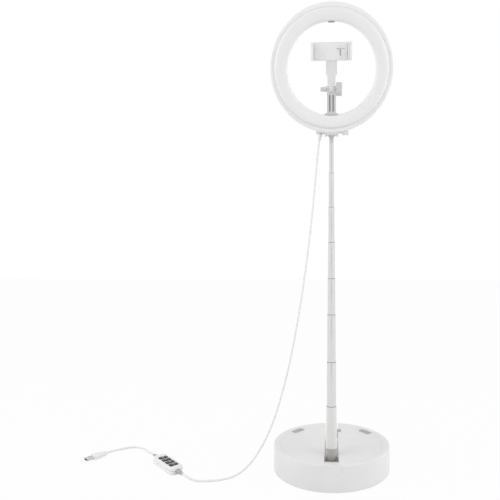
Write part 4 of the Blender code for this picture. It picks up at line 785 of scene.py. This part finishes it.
tube_tree, tube_in, tube_out = new_tree(
    "drawn_tube",
    [("Radius", "Float"), ("Wall", "Float"), ("Bottom", "Float"), ("Top", "Float"), ("Material", "Material")],
)
half_wall = reckon(tube_tree, "MULTIPLY", tube_in["Wall"], 0.5)
mid_radius = reckon(tube_tree, "SUBTRACT", tube_in["Radius"], half_wall)
height = reckon(tube_tree, "SUBTRACT", tube_in["Top"], tube_in["Bottom"])
middle = reckon(tube_tree, "MULTIPLY", reckon(tube_tree, "ADD", tube_in["Top"], tube_in["Bottom"]), 0.5)
ring_line = add_node(
    tube_tree, "GeometryNodeCurvePrimitiveCircle", None, {"Resolution": 72, "Radius": mid_radius}
)
upright = add_node(tube_tree, "GeometryNodeSetCurveNormal", {"mode": "Z_UP"}, {0: ring_line.outputs[0]})
wall_line = add_node(
    tube_tree, "GeometryNodeCurvePrimitiveQuadrilateral", None, {"Width": tube_in["Wall"], "Height": height}
)
swept = add_node(tube_tree, "GeometryNodeCurveToMesh", None, {0: upright.outputs[0], 1: wall_line.outputs[0]})
lift = add_node(tube_tree, "ShaderNodeCombineXYZ", None, {"Z": middle})
lifted = add_node(
    tube_tree, "GeometryNodeTransform", None, {0: swept.outputs[0], "Translation": lift.outputs[0]}
)
close_tree(tube_tree, lifted.outputs[0], tube_in["Material"], tube_out)

print("tube tree:", len(tube_tree.nodes), "nodes")

# %% Tubes and their bushes
TUBE_LENGTHS = (0.0770, 0.0825, 0.0630, 0.0630, 0.0613, 0.0597, 0.0843)
TUBE_RADIUS = 0.008
TUBE_STEP = 0.00065
TUBE_WALL = 0.00045
TUBE_OVERLAP = 0.014
BUSH_WALL = 0.0004
BUSH_LEDGE = 0.00042
BUSH_BELOW = 0.001
BUSH_ABOVE = 0.0007
SLEEVE_TOP = 0.1037
tube_top = SLEEVE_TOP
for number, length in enumerate(TUBE_LENGTHS, 1):
    tube_top += length
    mouth = tube_top - length
    radius = TUBE_RADIUS - TUBE_STEP * (number - 1)
    sizes = {"Radius": radius, "Wall": TUBE_WALL, "Bottom": mouth - TUBE_OVERLAP, "Top": tube_top}
    sizes["Material"] = FINISH["white_tube"]
    tube = grown(f"tube_{number}_fine", tube_tree, sizes, MAST)
    dress(soften(tube, 0.0002, 2), "white_tube", f"tube_{number}")
    sizes |= {"Radius": radius + BUSH_LEDGE, "Wall": BUSH_WALL}
    sizes |= {"Bottom": mouth - BUSH_BELOW, "Top": mouth + BUSH_ABOVE}
    bush = grown(f"bush_{number}", tube_tree, sizes, MAST)
    below = f"tube_{number - 1}" if number > 1 else "mast_sleeve"
    dress(bush, "bush_grey", body=BODY_OF[below], slot="grey_rubber")
print("seven tubes and their bushes, up to", round(tube_top, 4), "m along the mast")

# %% Sleeve and knuckle
SLEEVE_BORE = 0.0082
SLEEVE_START = 0.0320
FOOT_START = 0.0113
FOOT_END = SLEEVE_START - 0.0002
sleeve_profile = [(SLEEVE_BORE, SLEEVE_START), (0.01013, SLEEVE_START, 0.0005)]
sleeve_profile += [(0.00885, SLEEVE_TOP, 0.0003), (SLEEVE_BORE, SLEEVE_TOP, 0.0002)]
dress(turned("sleeve", filleted(sleeve_profile), 72, True, MAST), "cream_plastic", "mast_sleeve")
# The sleeve's lower end is a separate ring. Like the knuckle, it gets a darker grey, which is painted shade for
# where they sit down in the base's pit.
foot_profile = [(SLEEVE_BORE, FOOT_START), (0.0096, FOOT_START, 0.0004)]
foot_profile += [(0.0092, FOOT_END), (SLEEVE_BORE, FOOT_END)]
sleeve_foot = turned("sleeve_foot", filleted(foot_profile), 72, True, MAST)
dress(sleeve_foot, "pit_shade_grey", body="mast", slot="cream_plastic")
dress(rounded_copy("mast_knuckle", 0.0005, 3), "pit_shade_grey", "mast_knuckle", slot="cream_plastic")
print("mast dressed")

# %% [markdown]
# ## Head
# At the top of the mast a forked bracket carries the ring on one bolt. Its cheeks are a strap outline, the
# shape a belt takes round two wheels, which is how a moulded lever is usually drawn.

# %% Bracket
MAST_TOP = SLEEVE_TOP + sum(TUBE_LENGTHS)
PIVOT_UP = MAST_TOP - 0.014
PIVOT_BACK = -0.014
TILT_HOLE = 0.0051
CHEEK_WALL = 0.003
pivot_line = along_x(PIVOT_BACK, PIVOT_UP)
pivot_place = MAST @ Matrix.Translation((0, PIVOT_BACK, PIVOT_UP))
bracket = rod("bracket", 0.0125, MAST_TOP - 0.020, MAST_TOP + 0.0033, 64)
cheek = strap((PIVOT_BACK, PIVOT_UP), 0.0065, (0, PIVOT_UP), 0.00625)
fuse(bracket, rod("bridge", 0.010, -0.0117, 0.0117, move=along_x(0, PIVOT_UP)))
for start in (-0.012, 0.009):
    fuse(bracket, slab("cheek", cheek, start, start + CHEEK_WALL, ALONG_X))
ear_low = (-0.027, PIVOT_BACK + 0.0055, PIVOT_UP - 0.002)
ear_high = (-0.01185, PIVOT_BACK + 0.0145, PIVOT_UP + 0.004)
fuse(bracket, soften(block("ear", ear_low, ear_high), 0.001, 3))
tube_hole = rod("tube_hole", 0.0085, 0, MAST_TOP + CLEARANCE, 64)
cut(bracket, tube_hole, rod("bolt_hole", TILT_HOLE, -0.024, 0.024, move=pivot_line))
bracket.data.transform(MAST)
dress(soften(bracket, 0.0005, 3), "white_plastic", "head_bracket")
print("bracket:", len(bracket.data.polygons), "faces")

# %% Bolt and gland
bolt_profile = [(0, 0.0238), (0.0024, 0.0238), (0.0024, -0.0123), (0.0045, -0.0123)]
bolt_profile += arc((0.0035, -0.0138), 0.001, 0, -90, 6) + [(0, -0.0148)]
tilt_bolt = turned("bolt", bolt_profile, move=MAST @ pivot_line)
cut(tilt_bolt, block("driver_slot", (-0.016, -0.0006, -0.006), (-0.0138, 0.0006, 0.006), pivot_place))
dress(soften(tilt_bolt, 0.0002), "steel", "tilt_bolt")

gland_profile = [(0, -0.0005), (0.0036, -0.0005), (0.00375, -0.0008), (0.00375, -0.0030)]
for i in range(4):
    top = -0.0032 - i * 0.0019
    radius = 0.0035 - i * 0.00032
    gland_profile += [(radius - 0.0005, top), (radius - 0.0005, top - 0.0005), (radius, top - 0.0007)]
    gland_profile += [(radius - 0.0001, top - 0.0017)]
gland_profile += [(0.0024, -0.0108), (0.0022, -GLAND_LENGTH), (0, -GLAND_LENGTH)]
gland_place = Matrix.Translation(GLAND_TOP) @ Matrix.Rotation(GLAND_LEAN, 4, "Y")
dress(turned("gland", gland_profile, 48, move=gland_place), "pale_rubber", "cord_gland")
print("bolt and gland dressed")

# %% Knobs
def thumb_knob(name, diameter, lobes, depth, start, collar, length, bore, bore_end, move):
    """A lobed grip on a collar, with a shallow dish in its end and a blind bore."""
    grip = start + collar
    made = slab(name, lobed(diameter, lobes, depth), grip, grip + length, ALONG_X)
    soften(made, 0.0011, 4, 60)
    if collar:
        fuse(made, rod("collar", 0.008, start, grip + 0.0028, move=ALONG_X))
    dish = turned("dish", [(0, 0.02), (diameter * 0.32, 0.02), (diameter * 0.30, 0), (0, 0)], 64)
    dish.data.transform(ALONG_X @ Matrix.Translation((0, 0, grip + length - 0.0006)))
    cut(made, dish, rod("bore", bore, start - length, bore_end, move=ALONG_X))
    made.data.transform(move)
    return soften(made, 0.0003, 2, 50)


knob = thumb_knob("tilt_grip", 0.0135, 14, 0.0006, 0.0123, 0.006, 0.011, TILT_HOLE, 0.0241, pivot_place)
dress(knob, "white_plastic", "tilt_knob")
print("head dressed")

# %% [markdown]
# ## Ring
# The ring is a round trough with a frosted cover that bulges out of it. Both are lathe shapes: the trough
# has a wide soft radius at its back and a narrow bright lip in front, and the cover is a shallow crown.

# %% Casing
RING = pivot_place @ Matrix.Rotation(math.radians(109), 4, "X")
RING_FACE = RING @ Matrix.Translation((0, 0.100, 0.0075))
UP = RING @ Matrix.Translation((0, 0, 0.016)) @ ALONG_Y.inverted()
OUTER, INNER, DEPTH = 0.100, 0.072, 0.017
CASING_WALL = 0.0022
LIP = 0.0075
LIP_UNDER = 0.0148
INNER_TOP = 0.015
casing_profile = filleted(
    [
        (OUTER - LIP, DEPTH, 0.0008),
        (OUTER, DEPTH, 0.0030),
        (OUTER, 0, 0.007),
        (INNER, 0, 0.003),
        (INNER, INNER_TOP, 0.0004),
        (INNER + CASING_WALL, INNER_TOP),
        (INNER + CASING_WALL, CASING_WALL),
        (OUTER - CASING_WALL, CASING_WALL, 0.005),
        (OUTER - CASING_WALL, LIP_UNDER),
        (OUTER - LIP, LIP_UNDER),
    ],
    10,
)
casing = turned("casing", casing_profile, 200, True, RING_FACE)
cut(casing, rod("socket_hole", 0.0086, 0.1, 0.1764, move=UP), rod("screw_hole", 0.0033, 0.0236, 0.1, move=UP))
dress(casing, "ring_white", "ring_casing", slot="white_plastic")
print("casing:", len(casing.data.polygons), "faces")

# %% Frosted cover
cover_outer = OUTER - LIP - 0.0001
COVER_WALL = 0.0018
COVER_BULGE = 0.0065
COVER_EDGE = 0.0153
FLANGE_RADIUS = 0.0975
FLANGE_TOP = 0.0145
FLANGE_UNDER = 0.0133


def crown(shrink, steps):
    """The bulge from the inner edge to the outer one, which sits a little higher."""
    points = []
    for i in range(steps + 1):
        angle = math.pi * i / steps
        half = (cover_outer - INNER) / 2 - shrink
        height = (COVER_BULGE - shrink) * math.sin(angle) ** 0.7
        rise = 0.0008 * (1 - math.cos(angle))
        points.append(((cover_outer + INNER) / 2 - half * math.cos(angle), COVER_EDGE + rise + height))
    return points


cover_profile = crown(0, 40) + [(cover_outer, FLANGE_TOP), (FLANGE_RADIUS, FLANGE_TOP)]
cover_profile += [(FLANGE_RADIUS, FLANGE_UNDER), (cover_outer - COVER_WALL, FLANGE_UNDER)]
cover_profile += crown(COVER_WALL, 24)[::-1]
dress(turned("cover", cover_profile, 200, True, RING_FACE), "diffuser", "ring_diffuser")
print("frosted cover turned")

# %% Hinge lug and accessory socket
lug = rod("lug", 0.012, -0.0087, 0.0087, 64, ALONG_X)
flare = arc((0, 0), 0.0057, 129, 270, 24) + [(0.012, 0.0036), (0.012, 0.0072), (0.003, 0.0072)]
fuse(lug, slab("flare", flare, -0.0084, 0.0084, ALONG_X))
cut(lug, rod("bore", TILT_HOLE, -0.018, 0.018, move=ALONG_X))
lug.data.transform(RING)
dress(soften(lug, 0.0005, 3), "white_plastic", "ring_lug")

SOCKET_BORE, SOCKET_RADIUS, SOCKET_FLANGE = 0.003, 0.004, 0.0055
seat = OUTER + INNER - (2 * SOCKET_FLANGE) ** 2 / (8 * INNER) - CLEARANCE
socket_top, socket_face = seat + 0.006, seat - 0.001
socket_profile = [(SOCKET_RADIUS, socket_top), (SOCKET_RADIUS, seat), (SOCKET_FLANGE, seat, 0.0003)]
socket_profile += [(SOCKET_FLANGE, socket_face, 0.0003), (SOCKET_BORE, socket_face, 0.0003)]
socket_profile = filleted(socket_profile + [(SOCKET_BORE, socket_top)])
dress(turned("socket", socket_profile, 48, True, UP), "rest_grey", "accessory_socket", slot="grey_rubber")
print("lug and socket dressed")

# %% [markdown]
# ## Phone holder
# A grooved stem stands on the inside of the ring and ends in a small hinge. Above it a neck carries a
# spring clamp with one fixed and one sliding jaw. Stem and neck are flat mouldings with a round eye, so slabs
# and rods are fused and then drilled, which keeps the hinge true. The clamp's solid has its full shape
# already, so a copy of it only gets rounded edges and the thin slot across its guide.

# %% Stem
HINGE_UP = 0.0695
FRONT = 0.016
HINGE_HOLE = 0.0043
HINGE_EYE = 0.011
GROOVE_FLOOR = 0.0155
hinge_line = along_x(HINGE_UP, FRONT)
stem = block("stem", (-0.01125, 0.025, 0.010), (0.01125, 0.031, 0.022))
fuse(stem, block("post", (-0.0073, 0.028, 0.0115), (0.0073, HINGE_UP, 0.0205)))
fuse(stem, rod("knuckle", HINGE_EYE, -0.00715, 0.00715, move=hinge_line))
opening = rod("opening", 2 * (INNER - CLEARANCE), 0, 0.032, 200, Matrix.Translation((0, OUTER, 0)))
combine(stem, [opening], "INTERSECT")
cut(stem, block("fork_gap", (-0.0038, 0.0634, 0.005), (0.0038, 0.0805, 0.027)))
cut(stem, rod("bolt_hole", HINGE_HOLE, -0.0146, 0.0146, move=hinge_line))
for side in (-0.0028, 0.0028):
    groove = rounded_rectangle(0.0026, 0.0264, 0.0008, (side, 0.0472))
    cut(stem, slab("groove", groove, GROOVE_FLOOR, 0.025))
    # A dark grey strip on each groove's floor is painted shade: it darkens the groove beyond what its depth
    # shades.
    shade = slab("groove_painted_shade", groove, GROOVE_FLOOR + 0.0001, 0.0186, RING)
    dress(shade, "rest_grey", body="ring", slot="grey_rubber")
stem.data.transform(RING)
dress(soften(stem, 0.0003, 2), "stem_grey", "holder_stem", slot="white_plastic")
print("stem:", len(stem.data.polygons), "faces")

# %% Holder hinge
hinge_bolt = [(0, 0.0115), (0.002, 0.0115), (0.002, -0.0076), (0.00425, -0.0076, 0.0004)]
hinge_bolt = filleted(hinge_bolt + [(0.0032, -0.0181, 0.0008), (0, -0.0181)])
hinge_bolt = turned("hinge_bolt", hinge_bolt, move=RING @ hinge_line)
dress(hinge_bolt, "stem_grey", "holder_bolt", slot="white_plastic")
HOLDER = RING @ Matrix.Translation((0, HINGE_UP, FRONT))
knob = thumb_knob("hinge_grip", 0.0215, 6, 0.0013, 0.0076, 0, 0.0095, HINGE_HOLE, 0.0118, HOLDER)
dress(knob, "stem_grey", "holder_knob", slot="white_plastic")

neck_side = [(0.0032, 0), (0.0032, 0.0067), (0.0065, 0.0067)]
neck_side += [(0.0065, 0.019), (0.009, 0.024), (0.009, 0.0435)]
neck = slab("neck", neck_side + [(-x, y) for x, y in neck_side[::-1]], -0.00375, 0.00375)
fuse(neck, rod("eye", HINGE_EYE, -0.0035, 0.0035, move=ALONG_X))
cut(neck, rod("bore", HINGE_HOLE, -0.0146, 0.0146, move=ALONG_X))
neck.data.transform(HOLDER)
dress(soften(neck, 0.0006, 3), "neck_grey", "holder_neck", slot="white_plastic")
print("holder hinge dressed")

# %% Clamp
clamp = rounded_copy("clamp_body", 0.0005, 3)
cut(clamp, block("cross_slot", (0.0078, 0.0610, 0.0035), (0.0208, 0.0626, 0.02), HOLDER))
dress(clamp, "ring_white", "clamp_body", slot="white_plastic")
strip = block("slot_strip", (0.0131, 0.0600, 0.0029), (0.0155, 0.0645, 0.0034), HOLDER)
fuse(strip, block("slot_cap", (0.0131, 0.0627, 0.0030), (0.0155, 0.0645, 0.0054), HOLDER))
dress(strip, "ring_white", body=BODY_OF["clamp_body"], slot="white_plastic")
dress(rounded_copy("sliding_jaw", 0.0005, 3), "ring_white", "sliding_jaw", slot="white_plastic")
for node in ("fixed_pad", "moving_pad", "bed_pad"):
    dress(rounded_copy(node, 0.0003, 3), "pale_rubber", node)
print("clamp dressed")

# %% [markdown]
# ## Springs
# Two small compression springs push the jaw and the release button. A spring is a helix with a round wire,
# and Geometry Nodes has a spiral to sweep along, so one tree makes both from their sizes.

# %% Springs by rule
spring_tree, spring_in, spring_out = new_tree(
    "coil_spring",
    [("Radius", "Float"), ("Wire", "Float"), ("Length", "Float"), ("Turns", "Float"), ("Material", "Material")],
)
inner_radius = reckon(spring_tree, "SUBTRACT", spring_in["Radius"], spring_in["Wire"])
wire_width = reckon(spring_tree, "MULTIPLY", spring_in["Wire"], 2)
coil_length = reckon(spring_tree, "SUBTRACT", spring_in["Length"], wire_width)
spiral = add_node(
    spring_tree,
    "GeometryNodeCurveSpiral",
    None,
    {
        "Resolution": 24,
        "Rotations": spring_in["Turns"],
        "Start Radius": inner_radius,
        "End Radius": inner_radius,
        "Height": coil_length,
    },
)
wire_line = add_node(
    spring_tree, "GeometryNodeCurvePrimitiveCircle", None, {"Resolution": 8, "Radius": spring_in["Wire"]}
)
coil = add_node(
    spring_tree,
    "GeometryNodeCurveToMesh",
    None,
    {0: spiral.outputs[0], "Profile Curve": wire_line.outputs[0], "Fill Caps": True},
)
wire_lift = add_node(spring_tree, "ShaderNodeCombineXYZ", None, {"Z": spring_in["Wire"]})
coil_up = add_node(
    spring_tree, "GeometryNodeTransform", None, {0: coil.outputs[0], "Translation": wire_lift.outputs[0]}
)
close_tree(spring_tree, coil_up.outputs[0], spring_in["Material"], spring_out)


def spring(name, node, radius, wire, length, turns, move, direction):
    """A coil of the given sizes, fixed in place between the two parts that it pushes apart."""
    sizes = {"Radius": radius, "Wire": wire, "Length": length, "Turns": turns, "Material": FINISH["steel"]}
    made = grown(name, spring_tree, sizes, move)
    made.data.shade_smooth()
    foot = move @ Vector((0, 0, 0))
    foot + direction * length
    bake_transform(made)
    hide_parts(node)


jaw_low, jaw_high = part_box("jaw_spring")
jaw_place = Matrix.Translation((jaw_low.x, *((jaw_low + jaw_high) / 2).yz)) @ ALONG_X
jaw_direction = HOLDER.to_3x3() @ Vector((1, 0, 0))
spring("jaw_coil", "jaw_spring", 0.0024, 0.0003, 0.0482, 30.0, jaw_place, jaw_direction)
button_low, button_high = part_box("release_spring")
button_place = Matrix.Translation(((button_low.x + button_high.x) / 2, button_middle, button_low.z))
button_length = button_high.z - button_low.z
up = Vector((0, 0, 1))
spring("button_coil", "release_spring", 0.0034, 0.0004, button_length, 9.0, button_place, up)
print("two springs")

# %% [markdown]
# ## Remote
# The in-line control is two clipped shells with four keys. Each shell is a rounded slab hollowed out by a
# smaller one, so its wall stays even all round. The keys carry only the plain signs for power, brighter,
# dimmer and light colour. They are thin raised prints, because a mesh keeps them wherever the part goes.

# %% Remote shells and keys
REMOTE_MIDDLE = REMOTE_RUN / 2
REMOTE_LENGTH, REMOTE_WIDTH, REMOTE_ROUND = 0.078, 0.0245, 0.007
REMOTE_WALL = 0.0018
KEYS = (1, 2, 3, 4)
KEY_PITCH = 0.0135
KEY_WIDTH, KEY_LENGTH, KEY_ROUND = 0.009, 0.0155, 0.001
KEY_GAP = 0.0004
KEY_TOP = 0.0139
shell_outline = rounded_rectangle(REMOTE_LENGTH, REMOTE_WIDTH, REMOTE_ROUND, (REMOTE_MIDDLE, 0))
hollow_size = (REMOTE_LENGTH - 2 * REMOTE_WALL, REMOTE_WIDTH - 2 * REMOTE_WALL, REMOTE_ROUND - REMOTE_WALL)
hollow_outline = rounded_rectangle(*hollow_size, (REMOTE_MIDDLE, 0))


def key_centre(number):
    return REMOTE_MIDDLE - 0.002 + (number - 2.5) * KEY_PITCH


lower = soften(slab("remote_lower", shell_outline, 0.0002, 0.0062), 0.0011, 4, 60)
cut(lower, slab("pocket", hollow_outline, 0.0043, 0.02))
upper = soften(slab("remote_upper", shell_outline, 0.0065, 0.0127), 0.0014, 4, 60)
cut(upper, slab("hollow", hollow_outline, 0, 0.0109))
for number in KEYS:
    hole_size = (KEY_WIDTH + 2 * KEY_GAP, KEY_LENGTH + 2 * KEY_GAP, KEY_ROUND + KEY_GAP / 2)
    cut(upper, slab("key_hole", rounded_rectangle(*hole_size, (key_centre(number), 0)), 0.006, 0.02))
line = rounded_rectangle(0.0008, 0.0125, 0.0003, (key_centre(4) + 0.0085, 0))
cut(upper, slab("line", line, 0.0123, 0.02))
for made, node in ((lower, "remote_bottom"), (upper, "remote_top")):
    made.data.transform(REMOTE)
    dress(soften(made, 0.00025, 2, 50), "white_plastic", node)
for number in KEYS:
    key_outline = rounded_rectangle(KEY_WIDTH, KEY_LENGTH, KEY_ROUND, (key_centre(number), 0))
    key = slab(f"key_{number}", key_outline, 0.0073, KEY_TOP, REMOTE)
    dress(soften(key, 0.0005, 3), "black_key", f"button_{number}")

# %% Signs on the keys
def sign(name, number, outlines):
    """Thin raised marks on top of a key."""
    made = None
    for outline in outlines:
        moved = [(key_centre(number) + x, y) for x, y in outline]
        flat = slab(name, moved, KEY_TOP - 0.00005, KEY_TOP + 0.0001, REMOTE)
        made = fuse(made, flat) if made else flat
    dress(made, "white_plastic", body=f"button_{number}")


def bar(length, width):
    return rounded_rectangle(length, width, width * 0.45)


open_ring = arc((0, 0), 0.0019, 130, 410, 32) + arc((0, 0), 0.0014, 410, 130, 32)
power_bar = [(x, y + 0.0015) for x, y in bar(0.0005, 0.0018)]
sign("sign_power", 1, [open_ring, power_bar])
sign("sign_brighter", 2, [bar(0.0042, 0.0006), bar(0.0006, 0.0042)])
sign("sign_dimmer", 3, [bar(0.0006, 0.0042)])
sign("sign_colour", 4, [arc((0, 0), 0.0015, 0, 345, 23)])
print("four signs")

# %% [markdown]
# ## Strain reliefs
# Where the cord enters the remote a soft ribbed cone keeps it from kinking. The ribs are equal rings that
# shrink along the cone, which is a rule again: rings on evenly spaced points, scaled by their number.

# %% Ribs by rule
rib_sizes = [(name, "Float") for name in ("Length", "Wide", "Narrow", "Thickness")]
rib_tree, rib_in, rib_out = new_tree("relief_ribs", [("Count", "Int"), *rib_sizes, ("Material", "Material")])
pitch = reckon(rib_tree, "DIVIDE", rib_in["Length"], rib_in["Count"])
step = add_node(rib_tree, "ShaderNodeCombineXYZ", None, {"Z": pitch})
first = add_node(rib_tree, "ShaderNodeCombineXYZ", None, {"Z": reckon(rib_tree, "MULTIPLY", pitch, 0.5)})
rib_points = add_node(
    rib_tree,
    "GeometryNodeMeshLine",
    None,
    {"Count": rib_in["Count"], "Start Location": first.outputs[0], "Offset": step.outputs[0]},
)
rib_line = add_node(rib_tree, "GeometryNodeCurvePrimitiveCircle", None, {"Resolution": 48, "Radius": 1.0})
rib_index = add_node(rib_tree, "GeometryNodeInputIndex")
share = reckon(rib_tree, "DIVIDE", reckon(rib_tree, "ADD", rib_index.outputs[0], 0.5), rib_in["Count"])
taper = reckon(rib_tree, "MULTIPLY", reckon(rib_tree, "SUBTRACT", rib_in["Narrow"], rib_in["Wide"]), share)
rib_radius = reckon(rib_tree, "ADD", rib_in["Wide"], taper)
section = reckon(rib_tree, "DIVIDE", rib_in["Thickness"], rib_in["Wide"])
rib_section = add_node(
    rib_tree, "GeometryNodeCurvePrimitiveCircle", None, {"Resolution": 12, "Radius": section}
)
rib_mesh = add_node(
    rib_tree, "GeometryNodeCurveToMesh", None, {0: rib_line.outputs[0], "Profile Curve": rib_section.outputs[0]}
)
placed = add_node(
    rib_tree,
    "GeometryNodeInstanceOnPoints",
    None,
    {"Points": rib_points.outputs[0], "Instance": rib_mesh.outputs[0], "Scale": rib_radius},
)
close_tree(rib_tree, placed.outputs[0], rib_in["Material"], rib_out)
print("rib tree:", len(rib_tree.nodes), "nodes")

# %% Reliefs
RELIEF_LENGTH = 0.0175


def relief(node, start, backwards):
    """A cone with its ribs, from the wide end at the remote outwards."""
    place = REMOTE @ Matrix.Translation((start, 0, REMOTE_AXIS_HEIGHT)) @ ALONG_X
    if backwards:
        place = place @ Matrix.Rotation(math.pi, 4, "X")
    core = filleted([(0, 0), (0.0041, 0, 0.0003), (0.0024, RELIEF_LENGTH, 0.0004), (0, RELIEF_LENGTH)])
    cone = turned(node + "_cone", core, 48, move=place)
    sizes = {"Count": 5, "Length": 0.0165, "Wide": 0.0037, "Narrow": 0.0021, "Thickness": 0.0007}
    ribs = grown(node + "_ribs", rib_tree, sizes | {"Material": FINISH["grey_relief"]}, place)
    dress(cone, "grey_relief", node)
    dress(ribs, "grey_relief", body=BODY_OF[node])
    return [cone, ribs]


relief_pieces = relief("relief_in", RELIEF_LENGTH, True)
relief_pieces += relief("relief_out", REMOTE_RUN - RELIEF_LENGTH, False)
print("reliefs:", [piece.name for piece in relief_pieces])

# %% [markdown]
# ## Plug
# The plug is a moulded grip with a folded metal shell. The shell has two small windows on each flat side,
# where the socket's springs catch. It could be bent from a strip, but a box with its inside cut away looks
# the same and keeps an even wall.

# %% Plug
PLUG_SEAT = 0.022
SHELL_LENGTH = 0.0185
SHELL_WIDTH, SHELL_HEIGHT, SHELL_WALL = 0.012, 0.0045, 0.0004


def plug_box(name, width, height, start, end, radius):
    outline = rounded_rectangle(width, height, radius, (0, PLUG_AXIS_HEIGHT))
    return slab(name, outline, start, end, ALONG_X)


shell = plug_box("shell", SHELL_WIDTH, SHELL_HEIGHT, PLUG_SEAT, PLUG_SEAT + SHELL_LENGTH, 0.0005)
mouth_size = (SHELL_WIDTH - 2 * SHELL_WALL, SHELL_HEIGHT - 2 * SHELL_WALL)
cut(shell, plug_box("mouth", *mouth_size, 0, 0.1, 0.0003))
for side in (-0.0026, 0.0026):
    cut(shell, block("window", (0.0315, side - 0.0012, -0.01), (0.0340, side + 0.0012, 0.02)))
shell.data.transform(PLUG)
dress(soften(shell, 0.0001, 1), "steel", "plug_shell")
grip_side = [(0, -0.00375, 0.001), (0.0067, -0.00375, 0.004)]
grip_side += [(0.0112, -0.00775, 0.004), (0.028, -0.00775, 0.001)]
grip_outline = filleted(grip_side + [(x, -y, r) for x, y, r in grip_side[::-1]])
grip = soften(slab("grip", grip_outline, 0.0002, 0.0080), 0.0013, 4, 60)
seat_size = (SHELL_WIDTH + 2 * CLEARANCE, SHELL_HEIGHT + 2 * CLEARANCE)
cut(grip, plug_box("seat", *seat_size, PLUG_SEAT - CLEARANCE, 0.1, 0.0005))
grip.data.transform(PLUG)
dress(grip, "white_plastic", "plug_body")
tongue = dress(rounded_copy("plug_tongue", 0.0002), "white_plastic", "plug_tongue")
print("plug dressed")

# %% [markdown]
# ## Cord
# The three lengths are one cord. The upper one bends between the mast and the head, the middle one between
# the table and the mast, and the last one just lies on the table. A cord can't be rigid where a joint moves
# under it, but here the two bending lengths are left where they hang, and only the last one moves, with the
# base.

for made, node in ((lead_drop, "cord_drop"), (lead_floor, "cord_floor"), (lead_tail, "cord_tail")):
    made.data.materials.clear()
    made.data.materials.append(FINISH["white_cord"])
    made.data.shade_smooth()
    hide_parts(node)
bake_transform(lead_drop)
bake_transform(lead_floor)
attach(lead_tail, "base")
run_length(drop_run)
finer(drop_run)
run_length(floor_run)
finer(floor_run)
run_length(tail_run)
finer(tail_run)

# %% [markdown]
# ## What stays as it is
# Some pieces are inside and only need their stuff: the weights, boards, screws and pins. A finer copy of them
# would never be seen, so the solids themselves are kept and painted.

# %% Inner pieces
kept = []
for node, solid in NODES.items():
    if not solid.hide_render:
        solid.data.materials.clear()
        solid.data.materials.append(FINISH[SLOT_OF[node]])
        kept.append(node)
print("kept solids:", kept)

# %% Sizes
visual_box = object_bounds()
sizes = {"cad": [list(corner) for corner in cad_box], "visual": [list(corner) for corner in visual_box]}
print(sizes)
